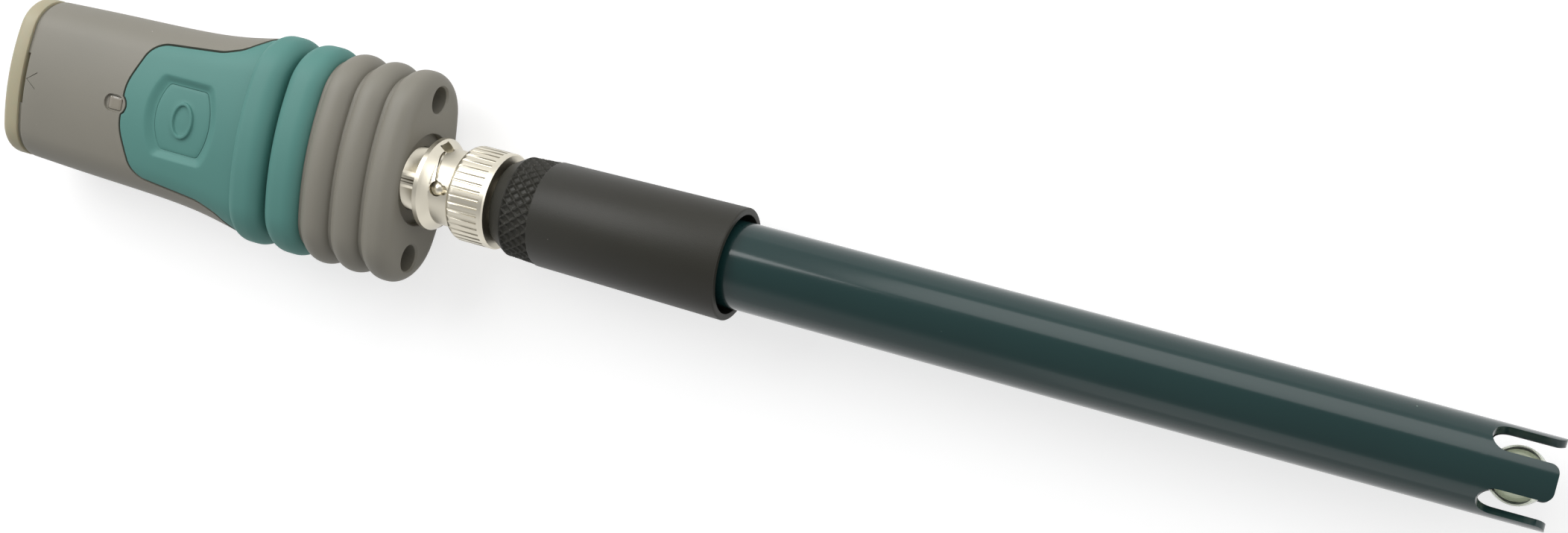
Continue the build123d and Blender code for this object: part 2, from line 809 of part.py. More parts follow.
with BuildPart() as nose_shell:
    oval_block(nose_face + front_rib / 2, nose_rear, groove_half_width, groove_half_depth)
    rib_front = nose_face
    for width in (front_rib, rib_pitch, rib_pitch):
        add(rib(rib_front, rib_front + width, rib_round, rib_round))
        rib_front += width
    oval_block(nose_rear, body_front, groove_half_width - parting_step, groove_half_depth - parting_step)
    # Spigot that locates the nose in the body
    with BuildSketch(cross_plane(body_front + spigot_length)):
        RectangleRounded(
            nose_hollow_width + 2 * spigot_wall,
            nose_hollow_depth + 2 * spigot_wall,
            nose_hollow_corner + spigot_wall)
    extrude(amount=spigot_length)
    with BuildSketch(cross_plane(body_front + spigot_length)):
        RectangleRounded(nose_hollow_width, nose_hollow_depth, nose_hollow_corner)
    extrude(amount=body_front + spigot_length - jack_flange_rear, mode=Mode.SUBTRACT)
    turned([
        (jack_flange_front, 0),
        (jack_flange_front, jack_flange_diameter / 2 + seat_clearance),
        (jack_flange_rear, jack_flange_diameter / 2 + seat_clearance),
        (jack_flange_rear, 0),
    ], mode=Mode.SUBTRACT)
    turned([
        (nose_face, 0),
        (nose_face, face_recess_diameter / 2),
        (recess_floor, face_recess_diameter / 2),
        (recess_floor, barrel_radius + seat_clearance),
        (jack_flange_front, barrel_radius + seat_clearance),
        (jack_flange_front, 0),
    ], mode=Mode.SUBTRACT)
    with BuildSketch(cross_plane(nose_face)):
        with Locations((-screw_offset, 0), (screw_offset, 0)):
            Circle(screw_hole_diameter / 2)
    extrude(amount=-screw_hole_depth, mode=Mode.SUBTRACT)
    with BuildSketch(cross_plane(nose_face)):
        with Locations((-screw_offset, 0), (screw_offset, 0)):
            Circle(screw_diameter / 2 + seat_clearance)
    extrude(amount=-(body_front - nose_face), mode=Mode.SUBTRACT)
nose_shell.part.label = "nose_shell"
export_step(nose_shell.part, "parts/nose_shell.step")

with BuildPart() as nose_band:
    add(rib(nose_colour_line, nose_rear, rib_round, rib_round))
    oval_block(nose_colour_line, nose_rear, groove_half_width, groove_half_depth, mode=Mode.SUBTRACT)
nose_band.part.label = "nose_band"
export_step(nose_band.part, "parts/nose_band.step")

with BuildPart() as nose_screws:
    head_seat = nose_face + screw_hole_depth
    for side in (-screw_offset, screw_offset):
        with BuildSketch(cross_plane(head_seat)):
            with Locations((side, 0)):
                Circle(screw_head_diameter / 2)
        extrude(amount=screw_head_height)
        with BuildSketch(cross_plane(head_seat)):
            with Locations((side, 0)):
                Circle(screw_diameter / 2)
        extrude(amount=-screw_length)
        with BuildSketch(cross_plane(head_seat - screw_head_height)):
            with Locations((side, 0)):
                RegularPolygon(screw_key_radius, 6)
        extrude(amount=-screw_head_height / 2, mode=Mode.SUBTRACT)
nose_screws.part.label = "nose_screws"
export_step(nose_screws.part, "parts/nose_screws.step")

# Rear body, teal grip and power button

body_form = body_solid(0, body_front)
grip_floor_form = body_solid(grip_thickness, body_front)
hollow_form = body_solid(body_wall, body_front + front_wall)
dish_floor_form = body_solid(dish_depth, body_front)
pad_floor_form = body_solid(dish_depth + pad_thickness, body_front)
pad_flange_form = body_solid(body_wall + pad_gap, body_front)
post_places = [
    (x_at(front_post_station), -board_post_spacing / 2),
    (x_at(front_post_station), board_post_spacing / 2),
    (x_at(rear_post_station), -board_post_spacing / 2),
    (x_at(rear_post_station), board_post_spacing / 2),
]

with BuildPart() as body_shell:
    add(body_form)
    fillet(body_shell.faces().sort_by(Axis.X)[0].edges(), radius=body_edge_round)
    oval_block(body_rear - body_wall, lip_rear, rear_half_width - lip_step, rear_half_depth - lip_step)
    add(hollow_form, mode=Mode.SUBTRACT)
    oval_block(body_rear, lip_rear, rear_half_width - body_wall, rear_half_depth - body_wall,
               mode=Mode.SUBTRACT)
    # Posts under the circuit board, and bosses for the two long screws
    with BuildPart(mode=Mode.PRIVATE) as inner_posts:
        with BuildSketch(level_plane(board_bottom)):
            with Locations(*post_places):
                Circle(board_post_diameter / 2)
        extrude(amount=-rib_half_depth)
        add(body_form, mode=Mode.INTERSECT)
    add(inner_posts.part)
    with BuildSketch(level_plane(board_bottom)):
        with Locations(*post_places):
            Circle(board_screw_diameter / 2 + sliding_clearance)
    extrude(amount=board_thickness - board_screw_length, mode=Mode.SUBTRACT)
    boss_length = screw_hole_depth + screw_length - (body_front - nose_face) + boss_floor
    with BuildSketch(cross_plane(body_front)):
        with Locations((-screw_offset, 0), (screw_offset, 0)):
            Circle(screw_hole_diameter / 2 + boss_wall)
    extrude(amount=-boss_length)
    with BuildSketch(cross_plane(body_front)):
        with Locations((-screw_offset, 0), (screw_offset, 0)):
            Circle(screw_diameter / 2 + sliding_clearance)
    extrude(amount=-boss_length, mode=Mode.SUBTRACT)
    with BuildSketch(cross_plane(body_front)):
        RectangleRounded(
            nose_hollow_width + 2 * spigot_wall + 2 * seat_clearance,
            nose_hollow_depth + 2 * spigot_wall + 2 * seat_clearance,
            nose_hollow_corner + spigot_wall)
    extrude(amount=-spigot_length - seat_clearance, mode=Mode.SUBTRACT)
    # Pocket for the teal grip, with a fine groove round its edge
    with BuildPart(mode=Mode.PRIVATE) as grip_pocket:
        add(grip_outline(grip_groove))
        add(body_form, mode=Mode.INTERSECT)
        add(grip_floor_form, mode=Mode.SUBTRACT)
    add(grip_pocket.part, mode=Mode.SUBTRACT)
    # Opening under the button, and the window with its light pipe's hole
    with BuildSketch(level_plane(0)):
        with Locations((x_at(button_station), 0)):
            RectangleRounded(pad_length, pad_width, pad_corner)
    extrude(amount=rib_half_depth, mode=Mode.SUBTRACT)
    with BuildSketch(level_plane(0)):
        with Locations((x_at(window_station), 0)):
            Rectangle(lens_length + 2 * sliding_clearance, lens_width + 2 * sliding_clearance)
    extrude(amount=rib_half_depth, mode=Mode.SUBTRACT)
    with BuildPart(mode=Mode.PRIVATE) as window_recess:
        with BuildSketch(level_plane(0)):
            with Locations((x_at(window_station + window_shift), 0)):
                SlotOverall(window_length, window_width)
        extrude(amount=rib_half_depth)
        add(body_solid(window_depth, body_front), mode=Mode.SUBTRACT)
    add(window_recess.part, mode=Mode.SUBTRACT)
    # Slot for a finger nail under the end cap
    with BuildSketch(cross_plane(lip_rear)):
        with Locations((0, rear_half_depth)):
            Rectangle(pry_slot_width, 2 * pry_slot_depth)
    extrude(amount=lip_length, mode=Mode.SUBTRACT)
body_shell.part.label = "body_shell"
export_step(body_shell.part, "parts/body_shell.step")

with BuildPart() as grip_overmould:
    add(rib(body_front, grip_rear, rib_round, grip_rib_round))
    oval_block(body_front, grip_rear, groove_half_width, groove_half_depth, mode=Mode.SUBTRACT)
    with BuildPart(mode=Mode.PRIVATE) as panel:
        add(grip_outline(0))
        add(body_form, mode=Mode.INTERSECT)
        add(grip_floor_form, mode=Mode.SUBTRACT)
    add(panel.part)
    # Sloping edge of the dished field, open in the middle for the button
    with BuildPart(mode=Mode.PRIVATE) as dish:
        dish_top = mouth_half_depth + dish_margin
        slope_rise = dish_depth + mouth_half_depth - waist_half_depth
        with BuildSketch(level_plane(dish_top)):
            with Locations((x_at(button_station), 0)):
                RectangleRounded(dish_length + 2 * dish_margin, dish_width + 2 * dish_margin, dish_corner)
        with BuildSketch(level_plane(mouth_half_depth - slope_rise)):
            with Locations((x_at(button_station), 0)):
                RectangleRounded(pad_length - 2 * pad_gap, pad_width - 2 * pad_gap, pad_corner)
        loft()
        add(dish_floor_form, mode=Mode.SUBTRACT)
    add(dish.part, mode=Mode.SUBTRACT)
    with BuildSketch(level_plane(0)):
        with Locations((x_at(button_station), 0)):
            RectangleRounded(pad_length, pad_width, pad_corner)
    extrude(amount=rib_half_depth, mode=Mode.SUBTRACT)
grip_overmould.part.label = "grip_overmould"
export_step(grip_overmould.part, "parts/grip_overmould.step")

with BuildPart() as button_pad:
    with BuildSketch(level_plane(0)):
        with Locations((x_at(button_station), 0)):
            RectangleRounded(pad_length - 2 * pad_gap, pad_width - 2 * pad_gap, pad_corner - pad_gap)
    extrude(amount=rib_half_depth)
    add(dish_floor_form, mode=Mode.INTERSECT)
    # Flange that keeps the pad under the shell
    with BuildPart(mode=Mode.PRIVATE) as flange:
        with BuildSketch(level_plane(0)):
            with Locations((x_at(button_station), 0)):
                RectangleRounded(pad_length + 2 * pad_flange, pad_width + 2 * pad_flange, dish_corner)
        extrude(amount=rib_half_depth)
        add(pad_flange_form, mode=Mode.INTERSECT)
    add(flange.part)
    add(pad_floor_form, mode=Mode.SUBTRACT)
    # Raised oval ring on top, and the stem that works the switch
    with BuildPart(mode=Mode.PRIVATE) as power_ring:
        with BuildSketch(level_plane(0)):
            with Locations((x_at(button_station), 0)):
                Ellipse(power_ring_length / 2, power_ring_width / 2)
                Ellipse(power_ring_length / 2 - power_ring_line, power_ring_width / 2 - power_ring_line,
                        mode=Mode.SUBTRACT)
        extrude(amount=rib_half_depth)
        add(body_solid(dish_depth - power_ring_height, body_front), mode=Mode.INTERSECT)
        add(body_solid(dish_depth + pad_gap, body_front), mode=Mode.SUBTRACT)
    add(power_ring.part)
    with BuildSketch(level_plane(plunger_top)):
        with Locations((x_at(button_station), 0)):
            Circle(button_stem_diameter / 2)
    extrude(amount=waist_half_depth - dish_depth - pad_thickness / 2 - plunger_top)
button_pad.part.label = "button_pad"
export_step(button_pad.part, "parts/button_pad.step")

with BuildPart() as switch_plunger:
    with BuildSketch(level_plane(plunger_top)):
        with Locations((x_at(button_station), 0)):
            Circle(plunger_diameter / 2)
    extrude(amount=-plunger_above - plunger_inside)
switch_plunger.part.label = "switch_plunger"
export_step(switch_plunger.part, "parts/switch_plunger.step")

with BuildPart() as tact_switch:
    with BuildSketch(level_plane(board_top)):
        with Locations((x_at(button_station), 0)):
            Rectangle(switch_width, switch_width)
    extrude(amount=switch_height)
    with BuildSketch(level_plane(switch_top)):
        with Locations((x_at(button_station), 0)):
            Circle(plunger_diameter / 2 + sliding_clearance)
    extrude(amount=-plunger_inside - button_travel - seat_clearance, mode=Mode.SUBTRACT)
tact_switch.part.label = "tact_switch"
export_step(tact_switch.part, "parts/tact_switch.step")

led_top = board_top + led_height
with BuildPart() as indicator_lens:
    with BuildSketch(level_plane(led_top + led_gap)):
        with Locations((x_at(window_station), 0)):
            Rectangle(lens_length, lens_width)
    extrude(amount=rib_half_depth)
    add(body_solid(window_depth - lens_lift, body_front), mode=Mode.INTERSECT)
    with BuildPart(mode=Mode.PRIVATE) as lens_collar:
        with BuildSketch(level_plane(0)):
            with Locations((x_at(window_station), 0)):
                Rectangle(lens_length + 2 * lens_flange, lens_width + 2 * lens_flange)
        extrude(amount=rib_half_depth)
        add(hollow_form, mode=Mode.INTERSECT)
        add(body_solid(body_wall + lens_flange_thickness, body_front), mode=Mode.SUBTRACT)
    add(lens_collar.part)
indicator_lens.part.label = "indicator_lens"
export_step(indicator_lens.part, "parts/indicator_lens.step")

with BuildPart() as indicator_led:
    with BuildSketch(level_plane(board_top)):
        with Locations((x_at(window_station), 0)):
            Rectangle(led_length, led_width)
    extrude(amount=led_height)
indicator_led.part.label = "indicator_led"
export_step(indicator_led.part, "parts/indicator_led.step")

# Circuit board, its parts and the battery

with BuildPart() as circuit_board:
    neck_end = body_front + board_neck_end
    tongue_start = body_rear - board_tongue_start
    with BuildSketch(level_plane(board_bottom)):
        with Locations((x_at((board_front + board_rear) / 2), 0)):
            Rectangle(board_rear - board_front, board_tongue_width)
        with Locations((x_at((board_front + tongue_start) / 2), 0)):
            Rectangle(tongue_start - board_front, board_neck_width)
        with Locations((x_at((neck_end + tongue_start) / 2), 0)):
            Rectangle(tongue_start - neck_end, board_width)
        with Locations(*post_places):
            Circle(board_screw_diameter / 2 + seat_clearance, mode=Mode.SUBTRACT)
    extrude(amount=board_thickness)
circuit_board.part.label = "circuit_board"
export_step(circuit_board.part, "parts/circuit_board.step")

with BuildPart() as board_screws:
    for place in post_places:
        with BuildSketch(level_plane(board_top)):
            with Locations(place):
                Circle(board_screw_head / 2)
        extrude(amount=board_screw_head_height)
        with BuildSketch(level_plane(board_top)):
            with Locations(place):
                Circle(board_screw_diameter / 2)
        extrude(amount=-board_screw_length)
board_screws.part.label = "board_screws"
export_step(board_screws.part, "parts/board_screws.step")

with BuildPart() as radio_shield:
    shield_station = body_front + shield_setback + shield_length / 2
    with BuildSketch(level_plane(board_top)):
        with Locations((x_at(shield_station), 0)):
            Rectangle(shield_length, shield_width)
    extrude(amount=shield_height)
    with BuildSketch(level_plane(board_top)):
        with Locations((x_at(shield_station), 0)):
            Rectangle(shield_length - 2 * shield_sheet, shield_width - 2 * shield_sheet)
    extrude(amount=shield_height - shield_sheet, mode=Mode.SUBTRACT)
radio_shield.part.label = "radio_shield"
export_step(radio_shield.part, "parts/radio_shield.step")

battery_length = body_length - battery_setback - battery_rear_setback
battery_station = body_front + battery_setback + battery_length / 2
with BuildPart() as battery_tape:
    with BuildSketch(level_plane(board_bottom)):
        with Locations((x_at(battery_station), 0)):
            Rectangle(battery_length - 2 * tape_inset, battery_width - 2 * tape_inset)
    extrude(amount=-tape_thickness)
battery_tape.part.label = "battery_tape"
export_step(battery_tape.part, "parts/battery_tape.step")

with BuildPart() as battery:
    with BuildSketch(level_plane(board_bottom - tape_thickness)):
        with Locations((x_at(battery_station), 0)):
            RectangleRounded(battery_length, battery_width, battery_corner)
    extrude(amount=-battery_height)
battery.part.label = "battery"
export_step(battery.part, "parts/battery.step")

with BuildPart() as usb_socket:
    usb_rear = body_rear - usb_setback
    usb_middle = board_top + usb_height / 2
    with BuildSketch(cross_plane(usb_rear)):
        with Locations((0, usb_middle)):
            Rectangle(usb_width, usb_height)
    extrude(amount=usb_length)
    with BuildSketch(cross_plane(usb_rear)):
        with Locations((0, usb_middle)):
            Rectangle(usb_width - 2 * usb_shell, usb_height - 2 * usb_shell)
    extrude(amount=usb_length - usb_floor, mode=Mode.SUBTRACT)
    with BuildSketch(cross_plane(usb_rear - usb_length + usb_floor)):
        with Locations((0, usb_middle)):
            Rectangle(usb_width / 2, usb_height / 4)
    extrude(amount=usb_floor + usb_tongue_setback - usb_length)
usb_socket.part.label = "usb_socket"
export_step(usb_socket.part, "parts/usb_socket.step")

with BuildPart() as end_cap:
    oval_block(lip_rear, overall_length, rear_half_width, rear_half_depth)
    fillet(end_cap.faces().sort_by(Axis.X)[0].edges(), radius=end_cap_round)
    front_edges = end_cap.faces().sort_by(Axis.X)[-1].edges()
    fillet(front_edges, radius=body_edge_round / 2)
    skirt_half_width = rear_half_width - body_wall - skirt_clearance
    skirt_half_depth = rear_half_depth - body_wall - skirt_clearance
    oval_block(lip_rear - skirt_length, lip_rear, skirt_half_width, skirt_half_depth)
    oval_block(lip_rear - skirt_length, lip_rear, skirt_half_width - skirt_wall, skirt_half_depth - skirt_wall,
               mode=Mode.SUBTRACT)
end_cap.part.label = "end_cap"
export_step(end_cap.part, "parts/end_cap.step")
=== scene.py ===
import json
from math import pi, radians

import bmesh
import bpy
import numpy as np
from mathutils import Matrix, Vector


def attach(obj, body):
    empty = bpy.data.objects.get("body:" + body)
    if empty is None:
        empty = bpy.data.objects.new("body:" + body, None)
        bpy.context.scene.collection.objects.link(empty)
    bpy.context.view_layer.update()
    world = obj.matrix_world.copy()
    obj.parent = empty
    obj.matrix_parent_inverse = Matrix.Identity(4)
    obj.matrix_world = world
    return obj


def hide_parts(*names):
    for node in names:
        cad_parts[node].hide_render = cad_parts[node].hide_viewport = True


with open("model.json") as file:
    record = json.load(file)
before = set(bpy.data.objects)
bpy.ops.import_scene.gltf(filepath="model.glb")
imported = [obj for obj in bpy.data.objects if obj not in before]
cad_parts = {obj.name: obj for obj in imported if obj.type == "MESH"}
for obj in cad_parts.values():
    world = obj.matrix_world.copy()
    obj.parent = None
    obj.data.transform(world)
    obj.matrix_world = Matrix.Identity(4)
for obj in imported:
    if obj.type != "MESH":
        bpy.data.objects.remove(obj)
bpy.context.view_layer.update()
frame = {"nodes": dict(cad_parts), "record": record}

# A pH electrode plugged into its oval amplifier handle.
# Stations are millimetres back from the prong tips along the electrode's axis, as in the solids.

MM = 0.001
OVERALL = 236.5
AXIS_HEIGHT = 9.0
TURN_SAMPLES = 64


# Shape helpers

def in_frame(station, across, up):
    """Points in the row frame: X is half the length less the station, Y is across, Z is up from the axis."""
    station, across, up = np.broadcast_arrays(station, across, up)
    return np.stack([(OVERALL / 2 - station) * MM, across * MM, (AXIS_HEIGHT + up) * MM], axis=-1)


def grid_faces(rows, columns, wrap_rows=False, wrap_columns=False, first=0):
    """Quads of a rows by columns grid; a wrapped direction joins its last line back to its first."""
    row_steps = rows if wrap_rows else rows - 1
    column_steps = columns if wrap_columns else columns - 1
    i, j = np.meshgrid(np.arange(row_steps), np.arange(column_steps), indexing="ij")
    i, j = i.ravel(), j.ravel()
    next_i, next_j = (i + 1) % rows, (j + 1) % columns
    return first + np.stack(
        [i * columns + j, next_i * columns + j, next_i * columns + next_j, i * columns + next_j], axis=1)


def mesh_object(name, grids, angle=35.0):
    """Object from grids of (points, wrap_rows, wrap_columns), with merged seams and outward normals."""
    points, faces, first = [], [], 0
    for grid, wrap_rows, wrap_columns in grids:
        rows, columns = grid.shape[:2]
        faces.append(grid_faces(rows, columns, wrap_rows, wrap_columns, first))
        points.append(grid.reshape(-1, 3))
        first += rows * columns
    mesh = bpy.data.meshes.new(name)
    mesh.from_pydata(np.concatenate(points).tolist(), [], np.concatenate(faces).tolist())
    obj = bpy.data.objects.new(name, mesh)
    bpy.context.scene.collection.objects.link(obj)
    tidy_mesh(mesh, angle)
    return obj


def tidy_mesh(mesh, angle=35.0, merge=0.000004, recalculate=True):
    """Merge doubles, drop faces without area, turn normals outward and shade smooth below the angle."""
    work = bmesh.new()
    work.from_mesh(mesh)
    bmesh.ops.remove_doubles(work, verts=work.verts, dist=merge)
    bmesh.ops.dissolve_degenerate(work, dist=merge / 2, edges=work.edges)
    if recalculate:
        bmesh.ops.recalc_face_normals(work, faces=work.faces)
    work.to_mesh(mesh)
    work.free()
    mesh.shade_smooth()
    mesh.set_sharp_from_angle(angle=radians(angle))


def rounded(corners, steps=6):
    """Outline through (station, radius, round) corners, with a tangent arc where a corner has a round."""
    path = []
    count = len(corners)
    for k, (station, radius, size) in enumerate(corners):
        here = np.array([station, radius], float)
        if size == 0:
            path.append(here[None])
            continue
        before = np.array(corners[k - 1][:2], float) - here
        after = np.array(corners[(k + 1) % count][:2], float) - here
        before /= np.linalg.norm(before)
        after /= np.linalg.norm(after)
        half = np.arccos(np.clip(before @ after, -1, 1)) / 2
        reach = size / np.tan(half)
        centre = here + (before + after) / np.linalg.norm(before + after) * size / np.sin(half)
        start, end = here + before * reach - centre, here + after * reach - centre
        sweep = np.arctan2(start[0] * end[1] - start[1] * end[0], start @ end)
        t = np.linspace(0, sweep, steps)
        across = start[0] * np.cos(t) - start[1] * np.sin(t)
        along = start[0] * np.sin(t) + start[1] * np.cos(t)
        path.append(centre + np.stack([across, along], axis=1))
    return np.concatenate(path)


def turned(name, outline):
    """Surface of revolution: an outline of (station, radius) points turned about the electrode's axis."""
    turn = np.arange(TURN_SAMPLES) * 2 * pi / TURN_SAMPLES
    station, radius = outline[:, :1], outline[:, 1:]
    grid = in_frame(station, radius * np.sin(turn), radius * np.cos(turn))
    return mesh_object(name, [(grid, False, True)], 60)


def oval_arcs(half_width, half_depth, ratio=0.88):
    """End radius, crown radius and the side arc's centre of an oval of four tangent arcs."""
    end = ratio * half_depth
    reach = half_width - end
    crown = (reach ** 2 + half_depth ** 2 - end ** 2) / (2 * (half_depth - end))
    return end, crown, reach


def oval_point(half_width, half_depth, inset, lean):
    """Point (across, up) of the oval, moved in by the inset, where its normal leans by the angle towards +Y.

    Near the top the point lies on the crown arc, and past the joint of the arcs on the end arc.
    """
    end, crown, reach = oval_arcs(half_width, half_depth)
    joint = np.arctan2(reach, crown - half_depth)
    folded = np.abs((lean + pi) % (2 * pi) - pi)
    side = np.sign((lean + pi) % (2 * pi) - pi)
    low = folded > pi / 2
    acute = np.where(low, pi - folded, folded)
    on_crown = acute <= joint
    across = np.where(on_crown, (crown - inset) * np.sin(acute), reach + (end - inset) * np.sin(acute))
    up = np.where(on_crown, (crown - inset) * np.cos(acute) - (crown - half_depth),
                  (end - inset) * np.cos(acute))
    return across * side, np.where(low, -up, up)


def oval_leans(half_width, half_depth, crown_steps=18, end_steps=20):
    """Lean angles round a whole oval, closer together on the flat crowns than on the ends."""
    end, crown, reach = oval_arcs(half_width, half_depth)
    joint = np.arctan2(reach, crown - half_depth)
    quarter = np.concatenate([np.linspace(0, joint, crown_steps, endpoint=False),
                              np.linspace(joint, pi / 2, end_steps, endpoint=False)])
    half = np.concatenate([quarter, [pi / 2], pi - quarter[:0:-1]])
    return np.concatenate([half, [pi], -half[:0:-1]])


def oval_sweep(name, path, sizes, closed=True):
    """Oval section swept along (station, inset) points, with its half width and depth from sizes(station)."""
    station, inset = path[:, 0], path[:, 1]
    half_width, half_depth = sizes(station)
    leans = oval_leans(float(np.max(half_width)), float(np.max(half_depth)))
    across, up = oval_point(half_width[:, None], half_depth[:, None], inset[:, None], leans[None, :])
    return mesh_object(name, [(in_frame(station[:, None], across, up), closed, True)])


def cut(piece, cutters):
    """Take the closed cutters out of the piece and keep the result as its mesh."""
    for cutter in cutters:
        modifier = piece.modifiers.new("cut", "BOOLEAN")
        modifier.operation = "DIFFERENCE"
        modifier.solver = "EXACT"
        modifier.object = cutter
    evaluated = piece.evaluated_get(bpy.context.evaluated_depsgraph_get())
    mesh = bpy.data.meshes.new_from_object(evaluated)
    piece.modifiers.clear()
    piece.data = mesh
    for cutter in cutters:
        bpy.data.objects.remove(cutter)
    tidy_mesh(mesh, 30, recalculate=False)
    return piece


def soften(piece, width):
    """Rounded edges of the width, in millimetres, where faces meet at more than 40 degrees."""
    modifier = piece.modifiers.new("soft edges", "BEVEL")
    modifier.width = width * MM
    modifier.segments = 2
    modifier.limit_method = "ANGLE"
    modifier.angle_limit = radians(40)
    modifier.harden_normals = True
    return piece


def smooth_through(places, values, at):
    """Natural cubic curve through the values at the places, its second slopes from the spline's equations."""
    places, values = np.asarray(places, float), np.asarray(values, float)
    count, step = len(places), np.diff(places)
    system, right = np.eye(count), np.zeros(count)
    for k in range(1, count - 1):
        system[k, k - 1:k + 2] = step[k - 1], 2 * (step[k - 1] + step[k]), step[k]
        right[k] = 6 * ((values[k + 1] - values[k]) / step[k] - (values[k] - values[k - 1]) / step[k - 1])
    bend = np.linalg.solve(system, right)
    k = np.clip(np.searchsorted(places, at) - 1, 0, count - 2)
    h, left, ahead = step[k], places[k + 1] - at, at - places[k]
    return ((bend[k] * left ** 3 + bend[k + 1] * ahead ** 3) / (6 * h)
            + (values[k] / h - bend[k] * h / 6) * left + (values[k + 1] / h - bend[k + 1] * h / 6) * ahead)


def ramp(value, low, high):
    """0 below low, 1 above high and a smooth S between them."""
    t = np.clip((value - low) / (high - low), 0, 1)
    return t * t * (3 - 2 * t)


def copy_of(node, name, angle=30.0):
    """Copy of a solid with its corners merged, shaded smooth below the angle, standing for the solid."""
    obj = bpy.data.objects.new(name, frame["nodes"][node].data.copy())
    bpy.context.scene.collection.objects.link(obj)
    tidy_mesh(obj.data, angle, merge=0.000002, recalculate=False)
    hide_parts(node)
    return obj


def turned_normals(obj):
    """Corner normals of the faces of a turned solid, with their part round the axis taken out.

    A face counts when its own normal leans less than 14 degrees out of the plane through the axis. A face
    whose corners all lie on one radius loses its part along the axis too.
    """
    mesh = obj.data
    points = np.array([vertex.co for vertex in mesh.vertices]) - (0, 0, AXIS_HEIGHT * MM)
    radius = np.hypot(points[:, 1], points[:, 2])
    radial = points * (0, 1, 1) / radius[:, None]
    normals = np.array([corner.vector for corner in mesh.corner_normals])
    for face in mesh.polygons:
        corners, vertices = list(face.loop_indices), list(face.vertices)
        middle = radial[vertices].mean(axis=0)
        lean = np.array(face.normal)
        around = lean[2] * middle[1] - lean[1] * middle[2]
        outward = lean @ middle
        if abs(around) > 0.24 * np.linalg.norm(middle) or abs(outward) < 0.05:
            continue
        along = normals[corners, 0]
        if np.ptp(radius[vertices]) < 0.01 * MM:
            along = np.zeros(len(corners))
        across = np.sqrt(1 - along ** 2) * np.sign(outward)
        normals[corners] = radial[vertices] * across[:, None]
        normals[corners, 0] = along
    mesh.normals_split_custom_set(normals.tolist())


def srgb(red, green, blue):
    """Colour as seen on the screen, 0 to 255, as the linear values that a shader takes."""
    value = np.array([red, green, blue]) / 255
    linear = np.where(value <= 0.04045, value / 12.92, ((value + 0.055) / 1.055) ** 2.4)
    return (*linear.tolist(), 1.0)


# Shader node groups

def new_group(name, inputs, outputs):
    """Empty shader node group with its named sockets."""
    group = bpy.data.node_groups.new(name, "ShaderNodeTree")
    for label, kind, default in inputs:
        socket = group.interface.new_socket(name=label, in_out="INPUT", socket_type=kind)
        socket.default_value = default
    for label, kind in outputs:
        group.interface.new_socket(name=label, in_out="OUTPUT", socket_type=kind)
    return group, group.nodes.new("NodeGroupInput"), group.nodes.new("NodeGroupOutput")


def moulded_grain_group():
    """Fine spark-eroded grain of moulded plastic, with a slow change of tone over the surface."""
    group, given, put = new_group(
        "Moulded grain", [("Scale", "NodeSocketFloat", 4000.0)],
        [("Height", "NodeSocketFloat"), ("Tone", "NodeSocketFloat")])
    nodes, links = group.nodes, group.links
    place = nodes.new("ShaderNodeTexCoord")
    fine = nodes.new("ShaderNodeTexNoise")
    fine.inputs["Detail"].default_value = 3.0
    slow = nodes.new("ShaderNodeTexNoise")
    slow.inputs["Scale"].default_value = 60.0
    slow.inputs["Detail"].default_value = 2.0
    links.new(place.outputs["Object"], fine.inputs["Vector"])
    links.new(place.outputs["Object"], slow.inputs["Vector"])
    links.new(given.outputs["Scale"], fine.inputs["Scale"])
    links.new(fine.outputs["Fac"], put.inputs["Height"])
    links.new(slow.outputs["Fac"], put.inputs["Tone"])
    return group


def dust_group():
    """Mask of sparse pale specks: round cells of a Voronoi pattern, most of them left out by their colour."""
    group, given, put = new_group(
        "Dust specks",
        [("Scale", "NodeSocketFloat", 900.0), ("Share", "NodeSocketFloat", 0.06),
         ("Size", "NodeSocketFloat", 0.09)],
        [("Mask", "NodeSocketFloat")])
    nodes, links = group.nodes, group.links
    place = nodes.new("ShaderNodeTexCoord")
    cells = nodes.new("ShaderNodeTexVoronoi")
    near = nodes.new("ShaderNodeMath")
    near.operation = "LESS_THAN"
    split = nodes.new("ShaderNodeSeparateColor")
    chosen = nodes.new("ShaderNodeMath")
    chosen.operation = "LESS_THAN"
    size = nodes.new("ShaderNodeMath")
    size.operation = "MULTIPLY"
    both = nodes.new("ShaderNodeMath")
    both.operation = "MULTIPLY"
    links.new(place.outputs["Object"], cells.inputs["Vector"])
    links.new(given.outputs["Scale"], cells.inputs["Scale"])
    links.new(cells.outputs["Color"], split.inputs[0])
    links.new(split.outputs[1], size.inputs[0])
    links.new(given.outputs["Size"], size.inputs[1])
    links.new(cells.outputs["Distance"], near.inputs[0])
    links.new(size.outputs[0], near.inputs[1])
    links.new(split.outputs[0], chosen.inputs[0])
    links.new(given.outputs["Share"], chosen.inputs[1])
    links.new(near.outputs[0], both.inputs[0])
    links.new(chosen.outputs[0], both.inputs[1])
    links.new(both.outputs[0], put.inputs["Mask"])
    return group


GRAIN = moulded_grain_group()
DUST = dust_group()


# Materials

def plain_material(name, colour, roughness, **settings):
    """Principled material with its fixed settings; returns it with its tree and shader."""
    material = bpy.data.materials.new(name)
    material.use_nodes = True
    shader = material.node_tree.nodes["Principled BSDF"]
    shader.inputs["Base Color"].default_value = colour
    shader.inputs["Roughness"].default_value = roughness
    for label, value in settings.items():
        shader.inputs[label.replace("_", " ")].default_value = value
    return material, material.node_tree, shader


def use_group(tree, group, **values):
    """Place a node group in a material with its own values."""
    node = tree.nodes.new("ShaderNodeGroup")
    node.node_tree = group
    for label, value in values.items():
        node.inputs[label].default_value = value
    return node


